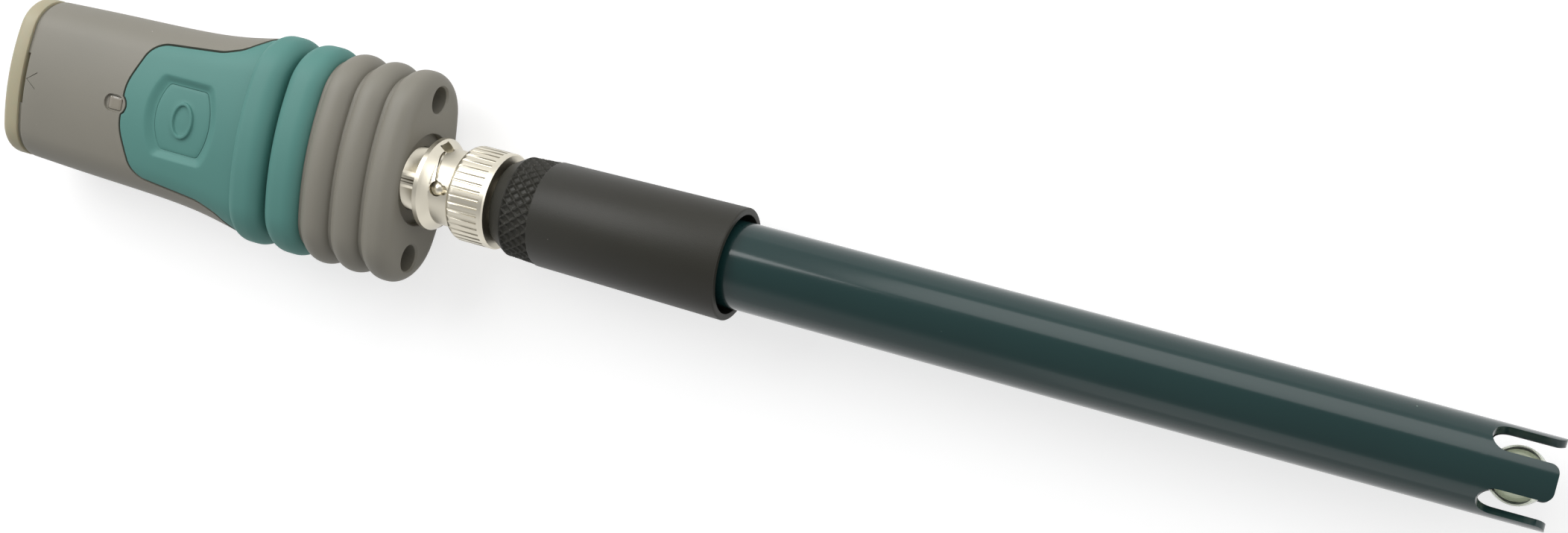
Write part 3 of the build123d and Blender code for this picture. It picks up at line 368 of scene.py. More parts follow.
def mix_colour(tree, mask, first, second):
    """Colour that goes from first to second as the mask goes from 0 to 1."""
    mix = tree.nodes.new("ShaderNodeMix")
    mix.data_type = "RGBA"
    for socket, value in ((mix.inputs[0], mask), (mix.inputs[6], first), (mix.inputs[7], second)):
        if isinstance(value, bpy.types.NodeSocket):
            tree.links.new(value, socket)
        else:
            socket.default_value = value
    return mix.outputs[2]


def moulded_material(
        name, dark, light, roughness, grain_scale, grain_depth, dust_share, dust_colour, **settings):
    """Moulded plastic or rubber: tone from dark to light, fine grain in relief and a few specks of dust."""
    material, tree, shader = plain_material(name, light, roughness, **settings)
    grain = use_group(tree, GRAIN, Scale=grain_scale)
    dust = use_group(tree, DUST, Share=dust_share)
    tone = mix_colour(tree, grain.outputs["Tone"], dark, light)
    tree.links.new(mix_colour(tree, dust.outputs["Mask"], tone, dust_colour), shader.inputs["Base Color"])
    bump = tree.nodes.new("ShaderNodeBump")
    bump.inputs["Distance"].default_value = 0.00002
    bump.inputs["Strength"].default_value = grain_depth
    tree.links.new(grain.outputs["Height"], bump.inputs["Height"])
    tree.links.new(bump.outputs["Normal"], shader.inputs["Normal"])
    return material


housing_plastic = moulded_material(
    "Grey housing", srgb(126, 123, 113), srgb(134, 130, 119), 0.55, 5000.0, 0.5, 0.02, srgb(200, 196, 186))
teal_rubber = moulded_material(
    "Teal grip rubber", srgb(76, 128, 121), srgb(84, 137, 129), 0.62, 5000.0, 0.5, 0.02, srgb(170, 200, 195))
cover_plastic = moulded_material(
    "Pale cover plastic", srgb(166, 159, 133), srgb(173, 166, 139), 0.5, 5000.0, 0.3, 0.0,
    srgb(220, 216, 200), Subsurface_Weight=0.15, Subsurface_Scale=0.002)
cap_plastic = moulded_material(
    "Charcoal cap plastic", srgb(43, 42, 37), srgb(49, 48, 42), 0.45, 6000.0, 0.7, 0.05,
    srgb(110, 106, 98), Specular_IOR_Level=0.25)
tube_plastic = moulded_material(
    "Dark green tube plastic", srgb(24, 50, 50), srgb(28, 56, 55), 0.16, 2500.0, 0.05, 0.03,
    srgb(120, 140, 130), Specular_IOR_Level=0.3, Coat_Weight=0.25, Coat_Roughness=0.1)
nickel = plain_material("Bright nickel", srgb(214, 208, 192), 0.33, Metallic=1.0)[0]
contact_gold = plain_material("Gold contact", srgb(212, 175, 95), 0.2, Metallic=1.0)[0]
steel = plain_material("Screw steel", srgb(180, 178, 174), 0.3, Metallic=1.0)[0]
insulator_plastic = plain_material("White insulator", srgb(232, 228, 216), 0.35)[0]
black_plastic = plain_material("Black inner plastic", srgb(38, 37, 36), 0.5)[0]
seal_rubber = plain_material("Seal rubber", srgb(30, 32, 32), 0.6)[0]
ceramic = plain_material("Junction ceramic", srgb(225, 220, 208), 0.7)[0]
board_green = plain_material("Board laminate", srgb(30, 90, 52), 0.35)[0]
foil = plain_material("Battery foil", srgb(190, 190, 192), 0.35, Metallic=1.0)[0]
lens_plastic = plain_material("Clear lens plastic", srgb(140, 134, 122), 0.2)[0]
membrane_glass = plain_material(
    "Membrane glass", srgb(200, 205, 190), 0.04, Transmission_Weight=1.0, IOR=1.5)[0]

SLOT_MATERIAL = {
    "tube_plastic": tube_plastic, "membrane_glass": membrane_glass, "seal_rubber": seal_rubber,
    "junction_ceramic": ceramic, "silver_wire": steel, "cap_plastic": cap_plastic, "nickel": nickel,
    "insulator": insulator_plastic, "gold_contact": contact_gold, "spring_steel": steel,
    "inner_plastic": black_plastic, "housing_plastic": housing_plastic, "grip_rubber": teal_rubber,
    "screw_steel": steel, "lens_plastic": lens_plastic, "board_laminate": board_green, "battery_pouch": foil,
    "foam_tape": black_plastic, "cover_plastic": cover_plastic,
}
for part in frame["record"]["subparts"]:
    node = frame["nodes"][part["node"]]
    node.data.materials.clear()
    node.data.materials.append(SLOT_MATERIAL[part["material_slot"]])


def dress(piece, material, body, slot, *nodes):
    """Give a finished piece its material, the body it rides on and the solids it stands for; the slot is not
    used.
    """
    piece.data.materials.clear()
    piece.data.materials.append(material)
    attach(piece, body)
    if nodes:
        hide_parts(*nodes)
    return piece


# Electrode tube with its four prongs

TIP_RADIUS = 6.0
SHAFT_RADIUS = 6.25
DRAFT_LENGTH = 60.0
BORE_RADIUS = 4.9
SEAT_START = 119.1
SEAT_RADIUS = 5.9
TUBE_END = 132.1
SLOT_LENGTH = 8.7
SLOT_HALF_WIDTH = 2.2
PRONG_CORNER = 1.2
PRONG_TWIST = 9.3


def slot_half_width(station):
    """Half the slot's width: flared at the tip by the prongs' corner arcs, straight, then a round bottom."""
    flare = SLOT_HALF_WIDTH + PRONG_CORNER - np.sqrt(
        np.clip(PRONG_CORNER ** 2 - np.clip(PRONG_CORNER - station, 0, None) ** 2, 0, None))
    past = np.clip(station - (SLOT_LENGTH - SLOT_HALF_WIDTH), 0, None)
    bottom = np.sqrt(np.clip(SLOT_HALF_WIDTH ** 2 - past ** 2, 0, None))
    return np.where(station < PRONG_CORNER, flare, bottom)


def prong_tube():
    """Tube as four equal sectors, each from slot edge to slot edge, and past the slots to 45 degrees.

    A sector's half angle is 45 degrees less the arc sine of the slot's half width over the radius.
    """
    straight = SLOT_LENGTH - SLOT_HALF_WIDTH
    ease = (1 - np.cos(np.linspace(0, pi / 2, 14))) * PRONG_CORNER
    round_end = straight + SLOT_HALF_WIDTH * np.sin(np.linspace(0, pi / 2, 16))
    stations = np.concatenate([ease, np.linspace(PRONG_CORNER, straight, 10)[1:-1], round_end,
                               [9.5, 12, 20, 40, DRAFT_LENGTH, SEAT_START, SEAT_START + 0.1, TUBE_END]])
    outer = np.interp(stations, [0, DRAFT_LENGTH, SEAT_START, SEAT_START + 0.1, TUBE_END],
                      [TIP_RADIUS, SHAFT_RADIUS, SHAFT_RADIUS, SEAT_RADIUS, SEAT_RADIUS])
    half = slot_half_width(stations)
    share = np.linspace(-1, 1, 25)
    grids = []
    for quarter in range(4):
        middle = radians(PRONG_TWIST + 90 * quarter)
        sides = []
        for radius in (outer, np.full_like(outer, BORE_RADIUS)):
            reach = pi / 4 - np.arcsin(half / radius)
            turn = middle + share[None, :] * reach[:, None]
            wide = radius[:, None]
            sides.append(in_frame(stations[:, None], wide * np.sin(turn), wide * np.cos(turn)))
        outside, inside = sides
        slotted = stations <= SLOT_LENGTH
        grids += [
            (outside, False, False), (inside, False, False),
            (np.stack([outside[0], inside[0]]), False, False),
            (np.stack([outside[-1], inside[-1]]), False, False),
            (np.stack([outside[slotted, 0], inside[slotted, 0]]), False, False),
            (np.stack([outside[slotted, -1], inside[slotted, -1]]), False, False),
        ]
    return mesh_object("electrode_tube", grids)


dress(soften(prong_tube(), 0.15), tube_plastic, "electrode", "tube_plastic", "electrode_body")

BULB_RADIUS = 3.85
STEM_RADIUS = 2.5
BULB_STATION = 4.65
STEM_END = 129.5
GLASS_WALL = 0.5


def bulb_outline(ball, stem):
    """Half outline of the glass: a ball that necks with a soft curve into the straight stem."""
    drop = np.sqrt(ball ** 2 - stem ** 2)
    turn = np.linspace(0, pi - np.arctan2(stem, drop), 40)
    station = BULB_STATION - ball * np.cos(turn)
    return np.stack([np.append(station, STEM_END), np.append(ball * np.sin(turn), stem)], axis=1)


glass_outside = bulb_outline(BULB_RADIUS, STEM_RADIUS)
glass_inside = bulb_outline(BULB_RADIUS - GLASS_WALL, STEM_RADIUS - GLASS_WALL)
glass_outline = np.concatenate([glass_outside, glass_inside[::-1]])
glass = turned("glass_bulb", glass_outline)
dress(glass, membrane_glass, "electrode", "membrane_glass", "glass_membrane")

# Knurled cap

CAP_REAR = 149.0
CAP_MOUTH = 112.1
CAP_MOUTH_RADIUS = 8.2
CAP_REAR_RADIUS = 6.05
CAP_REAR_BORE = 4.6
MOUTH_BORE = 7.2
MOUTH_FLOOR = 119.2
TUBE_BORE = 5.95
TUBE_STOP_BORE = 4.9
SHANK_SEAT = 140.0
BAND_START = 141.9
BAND_END = 146.6
BAND_FRONT_RADIUS = 7.74
BAND_REAR_RADIUS = 7.46
KNURL_COUNT = 60
KNURL_PITCH = 0.94
KNURL_DEPTH = 0.34


def cap_surface():
    """Cap turned from its outline; on the band, two families of helical ridges leave rows of diamond pits."""
    outline = rounded([
        (CAP_MOUTH, MOUTH_BORE, 0.1), (CAP_MOUTH, CAP_MOUTH_RADIUS, 0.25),
        (BAND_START - 0.12, BAND_FRONT_RADIUS + 0.06, 0), (BAND_START, BAND_FRONT_RADIUS, 0),
        (BAND_END, BAND_REAR_RADIUS, 0.1), (CAP_REAR, CAP_REAR_RADIUS, 0.2), (CAP_REAR, CAP_REAR_BORE, 0),
        (SHANK_SEAT, CAP_REAR_BORE, 0), (SHANK_SEAT, TUBE_STOP_BORE, 0), (TUBE_END, TUBE_STOP_BORE, 0),
        (TUBE_END, TUBE_BORE, 0), (MOUTH_FLOOR, TUBE_BORE, 0), (MOUTH_FLOOR, MOUTH_BORE, 0)], 5)
    start = np.argmin(np.hypot(outline[:, 0] - BAND_START, outline[:, 1] - BAND_FRONT_RADIUS))
    band_station = np.linspace(BAND_START, BAND_END - 0.06, 46)[1:-1]
    way = (band_station - BAND_START) / (BAND_END - BAND_START)
    band_radius = BAND_FRONT_RADIUS + (BAND_REAR_RADIUS - BAND_FRONT_RADIUS) * way
    outline = np.insert(outline, start + 1, np.stack([band_station, band_radius], axis=1), axis=0)
    samples = KNURL_COUNT * 8
    turn = np.arange(samples) * 2 * pi / samples
    station, radius = outline[:, :1], outline[:, 1:]
    along, around = (station - BAND_START) / KNURL_PITCH, turn[None, :] * KNURL_COUNT / (2 * pi)
    first = np.abs((along / 2 + around / 2) % 1 * 2 - 1)
    second = np.abs((along / 2 - around / 2) % 1 * 2 - 1)
    pit = np.clip(2 * np.minimum(first, second), 0, 1) ** 0.8
    on_band = ramp(station, BAND_START, BAND_START + 0.15) * (1 - ramp(station, BAND_END - 0.25, BAND_END))
    on_band = on_band * (radius > TUBE_BORE)
    radius = radius - KNURL_DEPTH * on_band * pit
    grid = in_frame(station, radius * np.sin(turn), radius * np.cos(turn))
    return mesh_object("knurled_cap", [(grid, True, True)], 40)


dress(cap_surface(), cap_plastic, "electrode", "cap_plastic", "electrode_cap")

# Coupling ring and jack

ring = copy_of("coupling_ring", "bayonet_ring", 25)
turned_normals(ring)
dress(ring, nickel, "coupling", "nickel")
jack = copy_of("jack_shell", "bayonet_jack", 30)
dress(jack, nickel, "handle", "nickel")

# Nose of the handle

NOSE_FACE = 163.5
RIB_EDGES = (163.5, 168.8, 174.1, 179.4, 185.8)
RIB_HALF_WIDTH = 16.1
RIB_HALF_DEPTH = 9.0
RIB_ROUND = 2.6
RIB_GROOVE = 1.45
FACE_ROUND = 2.2
PARTING_DEPTH = 4.0
GRIP_RIB_START = 186.2
GRIP_REAR = 192.0
GRIP_REAR_ROUND = 2.0


def rib_sizes(station):
    """Every rib has the same oval section."""
    return np.full_like(station, RIB_HALF_WIDTH), np.full_like(station, RIB_HALF_DEPTH)


def rib_path(start, end, front_round, rear_round, front_floor, rear_floor):
    """(station, inset) points over one rib: an arc up from the groove floor, the crest and an arc down."""
    front_angle = np.arcsin(np.clip(1 - front_floor / front_round, 0, 1))
    rear_angle = np.arcsin(np.clip(1 - rear_floor / rear_round, 0, 1))
    rise = np.linspace(front_angle, pi / 2, 12)
    fall = np.linspace(pi / 2, rear_angle, 12)
    front = np.stack([start + front_round * (1 - np.cos(rise)), front_round * (1 - np.sin(rise))], axis=1)
    rear = np.stack([end - rear_round * (1 - np.cos(fall)), rear_round * (1 - np.sin(fall))], axis=1)
    return np.concatenate([front, rear])


def nose():
    """Grey ribs as one sweep from the flat face back, with both ends open."""
    start = np.linspace(0, np.arcsin(1 - RIB_GROOVE / FACE_ROUND), 6, endpoint=False)
    lead_in = np.stack(
        [NOSE_FACE + FACE_ROUND * (1 - np.cos(start)), FACE_ROUND * (1 - np.sin(start))], axis=1)
    parts = [np.array([[NOSE_FACE, 6.0], [NOSE_FACE, 4.0], [NOSE_FACE, FACE_ROUND + 0.3]]), lead_in]
    for first, last, front_round in zip(RIB_EDGES[:3], RIB_EDGES[1:4], (FACE_ROUND, RIB_ROUND, RIB_ROUND)):
        parts.append(rib_path(first, last, front_round, RIB_ROUND, RIB_GROOVE, RIB_GROOVE))
    parts.append(np.array([
        [RIB_EDGES[3] + 0.1, RIB_GROOVE + 0.05], [RIB_EDGES[4] - 0.4, RIB_GROOVE + 0.05],
        [RIB_EDGES[4] - 0.4, PARTING_DEPTH], [GRIP_RIB_START, PARTING_DEPTH],
        [GRIP_RIB_START, 5.0], [GRIP_RIB_START, 6.0]]))
    return oval_sweep("grey_nose", np.concatenate(parts), rib_sizes, closed=False)


def stub(station, end, centre, profile, samples=64):
    """Closed round cutter with its axis at the centre's distance across, from a (station, radius) outline."""
    turn = np.arange(samples) * 2 * pi / samples
    outline = np.array([(station, 0.0)] + profile + [(end, 0.0)])
    grid = in_frame(outline[:, :1], centre + outline[:, 1:] * np.sin(turn), outline[:, 1:] * np.cos(turn))
    return mesh_object("cutter", [(grid, False, True)])


def fill_ends(piece):
    """Close the open rims of a piece with flat faces."""
    work = bmesh.new()
    work.from_mesh(piece.data)
    rims = [edge for edge in work.edges if edge.is_boundary]
    bmesh.ops.holes_fill(work, edges=rims, sides=0)
    bmesh.ops.recalc_face_normals(work, faces=work.faces)
    work.to_mesh(piece.data)
    work.free()
    piece.data.shade_smooth()
    piece.data.set_sharp_from_angle(angle=radians(35))
    return piece


# Patches in plan view, laid on the body's surface

def body_sizes(station):
    """Half width and half depth of the rear body: smooth curves through its five sections."""
    at = np.clip(station, GRIP_REAR, BODY_REAR)
    half_width = smooth_through(BODY_STATIONS, BODY_HALF_WIDTHS, at)
    return half_width, smooth_through(BODY_STATIONS, BODY_HALF_DEPTHS, at)


def on_body(station, across, inset):
    """Row-frame points over plan places on top of the body, each moved in from the surface by the inset.

    The lean of the surface over a place is the arc sine of its distance across over the crown's radius, and
    past the joint of the arcs the same with the end arc's own centre and radius.
    """
    half_width, half_depth = body_sizes(station)
    end, crown, reach = oval_arcs(half_width, half_depth)
    joint = np.arctan2(reach, crown - half_depth)
    side, distance = np.sign(across), np.abs(across)
    lean = np.where(distance <= crown * np.sin(joint), np.arcsin(np.clip(distance / crown, 0, 1)),
                    np.arcsin(np.clip((distance - reach) / end, 0, 0.999)))
    moved, up = oval_point(half_width, half_depth, inset, lean)
    return in_frame(station, moved * np.where(side == 0, 1, side), up)


def ray_reach(outline, angles):
    """Distance from the origin to a closed outline along each angle, where every ray crosses it once."""
    first, second = outline, np.roll(outline, -1, axis=0)
    way = np.stack([np.cos(angles), np.sin(angles)], axis=1)[:, None, :]
    edge = (second - first)[None]
    across = way[..., 0] * edge[..., 1] - way[..., 1] * edge[..., 0]
    across = np.where(np.abs(across) < 1e-12, 1e-12, across)
    reach = (first[None, :, 0] * edge[..., 1] - first[None, :, 1] * edge[..., 0]) / across
    share = (first[None, :, 0] * way[..., 1] - first[None, :, 1] * way[..., 0]) / across
    hit = (share >= -1e-9) & (share <= 1 + 1e-9) & (reach > 0)
    return np.where(hit, reach, 0).max(axis=1)


def rounded_box(length, width, corner, steps=10):
    """Closed outline of a rectangle with round corners, about its own middle."""
    x, y = length / 2, width / 2
    return rounded([(x, y, corner), (-x, y, corner), (-x, -y, corner), (x, -y, corner)], steps)


def barrel(length, width, bulge, corner, steps=15):
    """Closed outline with flat far and near sides, and ends that bulge out on arcs of the bulge radius."""
    turn = np.linspace(-1, 1, steps)[1:-1] * np.arcsin(width / 2 / bulge)
    x, y = length / 2 - bulge + bulge * np.cos(turn), bulge * np.sin(turn)
    end_x = length / 2 - bulge + np.sqrt(bulge ** 2 - width ** 2 / 4)
    corners = [(px, py, 0) for px, py in zip(x, y)]
    corners += [(end_x, width / 2, corner), (-end_x, width / 2, corner)]
    corners += [(-px, py, 0) for px, py in zip(x[::-1], y[::-1])]
    return rounded(corners + [(-end_x, -width / 2, corner), (end_x, -width / 2, corner)], 7)


def ellipse(length, width, steps=96):
    """Closed outline of an ellipse about its own middle."""
    turn = np.arange(steps) * 2 * pi / steps
    return np.stack([length / 2 * np.cos(turn), width / 2 * np.sin(turn)], axis=1)


def ringed(name, middle, rings, angles, wrap=True):
    """Piece of closed rings about a station: each ring is (reach along every angle, inset from the body)."""
    grid = [on_body(middle - reach * np.cos(angles), reach * np.sin(angles), np.full_like(reach, inset))
            for reach, inset in rings]
    return mesh_object(name, [(np.stack(grid), wrap, True)])


def edge_roll(size, steps=5):
    """(move in, drop) pairs over a quarter round, from the vertical side to the level top."""
    turn = np.linspace(0, pi / 2, steps)
    return [(size * (1 - np.cos(t)), size * (1 - np.sin(t))) for t in turn]


BODY_REAR = 232.9
LIP_REAR = 233.4
BODY_STATIONS = (192.0, 198.72, 208.0, 220.65, BODY_REAR)
BODY_HALF_WIDTHS = (15.3, 14.11, 13.35, 12.96, 12.5)
BODY_HALF_DEPTHS = (7.8, 7.76, 7.65, 7.12, 6.5)
BODY_WALL = 2.0
REAR_ROUND = 0.6
PLATE_FRONT = 186.4
PLATE_REAR = 188.4
PLATE_INSET = 5.0
RIB_SEAT = 0.3

# The nose, its teal band and the teal rib of the grip


def ring_path(start, end, rear_round, front_floor, rear_floor):
    """Closed (station, inset) path of one teal rib, whose inner side lies at the parting groove's floor."""
    rib = rib_path(start, end, RIB_ROUND, rear_round, front_floor, rear_floor)
    inner = np.array([[rib[-1, 0], PARTING_DEPTH], [rib[0, 0], PARTING_DEPTH]])
    return np.concatenate([rib, inner])


FACE_RECESS_RADIUS = 7.0
SCREW_OFFSET = 12.05
SCREW_HOLE_RADIUS = 2.05
CUT_START = 160.0
RECESS_FLOOR = 164.7
RECESS_END = 171.0
JACK_BORE = 4.9
NUT_START = 166.5
NUT_END = 168.2
NUT_RADIUS = 6.5
WELL_END = 178.0
recess = stub(CUT_START, RECESS_END, 0.0, [
    (CUT_START, FACE_RECESS_RADIUS + 0.12), (NOSE_FACE, FACE_RECESS_RADIUS + 0.12),
    (NOSE_FACE + 0.12, FACE_RECESS_RADIUS), (RECESS_FLOOR, FACE_RECESS_RADIUS), (RECESS_FLOOR, JACK_BORE),
    (NUT_START, JACK_BORE), (NUT_START, NUT_RADIUS), (NUT_END, NUT_RADIUS), (NUT_END, JACK_BORE),
    (RECESS_END, JACK_BORE)])
screw_wells = [
    stub(CUT_START, WELL_END, side, [
        (CUT_START, SCREW_HOLE_RADIUS + 0.3), (NOSE_FACE, SCREW_HOLE_RADIUS + 0.3),
        (NOSE_FACE + 0.09, SCREW_HOLE_RADIUS + 0.17), (NOSE_FACE + 0.3, SCREW_HOLE_RADIUS),
        (WELL_END, SCREW_HOLE_RADIUS)], 48)
    for side in (-SCREW_OFFSET, SCREW_OFFSET)]
grey_nose = cut(fill_ends(nose()), [recess] + screw_wells)
dress(grey_nose, housing_plastic, "handle", "housing_plastic", "nose_shell")

band_path = ring_path(RIB_EDGES[3], RIB_EDGES[4], RIB_ROUND, RIB_GROOVE, RIB_ROUND)
band = oval_sweep("teal_nose_band", band_path, rib_sizes)
dress(band, teal_rubber, "handle", "grip_rubber", "nose_band")
grip_path = ring_path(GRIP_RIB_START, GRIP_REAR, GRIP_REAR_ROUND, RIB_ROUND, RIB_GROOVE)
grip_rib = oval_sweep("teal_grip_rib", grip_path, rib_sizes)
dress(grip_rib, teal_rubber, "handle", "grip_rubber")

# Teal panel with its dished field

BUTTON_STATION = 202.1
WINDOW_STATION = 214.2
PANEL_LEAD = 213.2
PANEL_THICKNESS = 1.2
PANEL_GROOVE = 0.22
DISH_DEPTH = 0.75
DISH_SHIFT = -0.25
NOTCH_RADIUS = 1.8
panel_corners = [(BUTTON_STATION - station, across, size) for station, across, size in (
    (PANEL_LEAD, 3.4, 8.0), (210.4, 10.35, 4.0), (198.4, 11.5, 8.0), (195.0, 12.65, 5.0),
    (GRIP_REAR, 15.05, 0), (190.9, 15.05, 0))]
panel_corners += [(x, -y, size) for x, y, size in panel_corners[::-1]]
panel_plain = rounded(panel_corners, 24)


def notched(outline, radius):
    """Panel outline whose lead edge gives way to a round notch about the window."""
    middle = BUTTON_STATION - WINDOW_STATION
    lead = BUTTON_STATION - PANEL_LEAD
    half = np.sqrt(radius ** 2 - (lead - middle) ** 2)
    turn = np.linspace(-1, 1, 17) * np.arctan2(half, lead - middle)
    arc = np.stack([middle + radius * np.cos(turn), radius * np.sin(turn)], axis=1)
    return np.concatenate([outline, arc])


def grown(outline, margin):
    """Outline moved out by the margin along its corner normals."""
    ahead = np.roll(outline, -1, axis=0)
    before = outline - np.roll(outline, 1, axis=0)
    after = ahead - outline
    before /= np.maximum(np.linalg.norm(before, axis=1, keepdims=True), 1e-9)
    after /= np.maximum(np.linalg.norm(after, axis=1, keepdims=True), 1e-9)
    middle = before + after
    middle /= np.maximum(np.linalg.norm(middle, axis=1, keepdims=True), 1e-9)
    turn = np.sign(np.sum(outline[:, 0] * ahead[:, 1] - ahead[:, 0] * outline[:, 1]))
    return outline + turn * margin * np.stack([middle[:, 1], -middle[:, 0]], axis=1)


def shared_angles(*outlines, count=160):
    """Ray angles that pass through every corner of the outlines, filled up evenly between them."""
    corners = np.sort(np.concatenate([np.arctan2(outline[:, 1], outline[:, 0]) for outline in outlines]))
    corners = corners[np.append(True, np.diff(corners) > 0.004)]
    even = np.linspace(-pi, pi, count, endpoint=False)
    clear = np.abs(even[:, None] - corners[None, :]).min(axis=1) > 0.012
    return np.sort(np.concatenate([corners, even[clear]]))


def spread(first, last, inset, count):
    """Rings at one inset, evenly spaced between two reaches, both ends left out."""
    return [(first + (last - first) * t, inset) for t in np.linspace(0, 1, count + 2)[1:-1]]


DISH_BARREL = (13.2, 12.8, 11.5, 1.2)
OPENING_BARREL = (9.9, 10.4, 9.6, 0.8)
PAD_SEAM = 0.03
PAD_DRAFT = 0.15
OPENING_DRAFT = 0.12
BODY_OPENING_MARGIN = 0.35
EDGE_ROLL = 0.25
panel_outline = notched(panel_plain, NOTCH_RADIUS)
angles = shared_angles(panel_outline)
panel_reach = ray_reach(panel_outline, angles)
dish_reach = ray_reach(barrel(*DISH_BARREL) + (DISH_SHIFT, 0), angles)
opening_reach = ray_reach(barrel(*OPENING_BARREL) + (DISH_SHIFT, 0), angles)


def panel_rings():
    """Rings of the panel: up its outer side, over the rolled edge, across, down into the dish and back below.

    The slope's depth is the dish's depth times a smooth S of the way from its upper to its lower edge.
    """
    rings = [(panel_reach, PANEL_THICKNESS), (panel_reach, EDGE_ROLL + 0.2)]
    rings += [(panel_reach - move, drop) for move, drop in edge_roll(EDGE_ROLL)]
    top, foot = dish_reach + 0.1, opening_reach + 0.08
    rings += spread(panel_reach - EDGE_ROLL, top, 0.0, 11)
    for t in np.linspace(0, 1, 13):
        rings.append((top + (foot - top) * t, DISH_DEPTH * ramp(t, 0.0, 1.0)))
    rings += [(opening_reach + 0.04, DISH_DEPTH + 0.02), (opening_reach, DISH_DEPTH + 0.08),
              (opening_reach + OPENING_DRAFT, PANEL_THICKNESS)]
    return rings + spread(opening_reach + OPENING_DRAFT, panel_reach, PANEL_THICKNESS, 8)


panel = ringed("teal_panel", BUTTON_STATION, panel_rings(), angles)
dress(panel, teal_rubber, "handle", "grip_rubber", "grip_overmould")

# Power button: a pad with a raised oval ring, and its stem

pad_reach = opening_reach - PAD_SEAM
outer_oval = ray_reach(ellipse(4.0, 5.75) + (DISH_SHIFT, 0), angles)
inner_oval = ray_reach(ellipse(2.9, 4.65) + (DISH_SHIFT, 0), angles)
centre = np.zeros_like(angles)
OVAL_TOP = DISH_DEPTH - 0.35
PAD_FLOOR = DISH_DEPTH + 1.4
pad_foot = pad_reach - PAD_DRAFT
pad_rings = [(centre, PAD_FLOOR)] + spread(centre, pad_foot, PAD_FLOOR, 2)
pad_rings += [(pad_foot, PAD_FLOOR), (pad_foot, DISH_DEPTH + 0.4)]
pad_rings += [(pad_reach - move, DISH_DEPTH + drop) for move, drop in edge_roll(0.05, 3)]
pad_rings += spread(pad_reach - 0.05, outer_oval + 0.12, DISH_DEPTH, 3)
oval_side = [
    (0.12, DISH_DEPTH), (0.04, DISH_DEPTH - 0.03), (-0.02, OVAL_TOP + 0.12), (-0.08, OVAL_TOP + 0.03),
    (-0.16, OVAL_TOP)]
pad_rings += [(outer_oval + move, inset) for move, inset in oval_side]
pad_rings += [(inner_oval - move, inset) for move, inset in oval_side[::-1]]
pad_rings += spread(inner_oval - 0.12, centre, DISH_DEPTH, 2) + [(centre, DISH_DEPTH)]
pad = ringed("button_pad_top", BUTTON_STATION, pad_rings, angles, wrap=False)
dress(pad, teal_rubber, "button", "grip_rubber", "button_pad")


def post(name, station, across, low, high, radius, samples=32):
    """Upright round post between two heights above the axis."""
    turn = np.arange(samples) * 2 * pi / samples
    rings = [
        in_frame(station + size * np.cos(turn), across + size * np.sin(turn), np.full(samples, height))
        for size, height in ((0, low), (radius, low), (radius, high), (0, high))]
    return mesh_object(name, [(np.stack(rings), False, True)])


dress(post("button_stem", BUTTON_STATION, 0.0, 3.0, 5.4, 1.5), teal_rubber, "button", "grip_rubber")

# Body of the handle


def body_path():
    """Closed (station, inset) path of the body's wall: front plate, outside, lip and along the hollow."""
    round_turn = np.linspace(0, radians(80.4), 6)
    outer = np.arange(GRIP_REAR + 1.2, BODY_REAR - 1.1, 1.3)
    rear_station = BODY_REAR - REAR_ROUND * (1 - np.sin(round_turn))
    rear = np.stack([rear_station, REAR_ROUND * (1 - np.cos(round_turn))], axis=1)
    inner = np.arange(BODY_REAR - 0.9, PLATE_REAR + 0.6, -4.0)
    return np.concatenate([
        [[PLATE_FRONT, PLATE_INSET], [PLATE_FRONT, 0.9], [PLATE_FRONT + 0.4, RIB_SEAT], [GRIP_REAR, RIB_SEAT],
         [GRIP_REAR, 0.15], [GRIP_REAR + 0.05, 0.04], [GRIP_REAR + 0.15, 0.0]],
        np.stack([outer, np.zeros_like(outer)], axis=1), rear,
        [[LIP_REAR, 0.5], [LIP_REAR, BODY_WALL]],
        np.stack([inner, np.full_like(inner, BODY_WALL)], axis=1),
        [[PLATE_REAR, BODY_WALL], [PLATE_REAR, PLATE_INSET]]])


def plug(name, middle, reach, angles, high, low, steps=6):
    """Closed cutter over a plan outline between two insets, following the body's curve above and below."""
    centre = np.zeros_like(reach)
    rings = [(centre, high)] + spread(centre, reach, high, steps) + [(reach, high), (reach, low)]
    rings += spread(reach, centre, low, steps) + [(centre, low)]
    return ringed(name, middle, rings, angles, wrap=False)


round_angles = np.linspace(-pi, pi, 96, endpoint=False)
WINDOW_MIDDLE = 214.8
LENS_MIDDLE = 214.7
window_reach = ray_reach(rounded_box(3.75, 2.7, 1.34), round_angles)
lens_reach = ray_reach(rounded_box(2.45, 2.05, 0.2), round_angles)
pocket_reach = ray_reach(grown(panel_outline, PANEL_GROOVE), angles)


def bar(name, corners, low, high):
    """Closed upright block over four (station, across) corners, between two heights above the axis."""
    station, across = np.array(corners).T
    up = np.array([[low] * 4, [high] * 4])
    return fill_ends(mesh_object(name, [(in_frame(station, across, up), False, True)]))


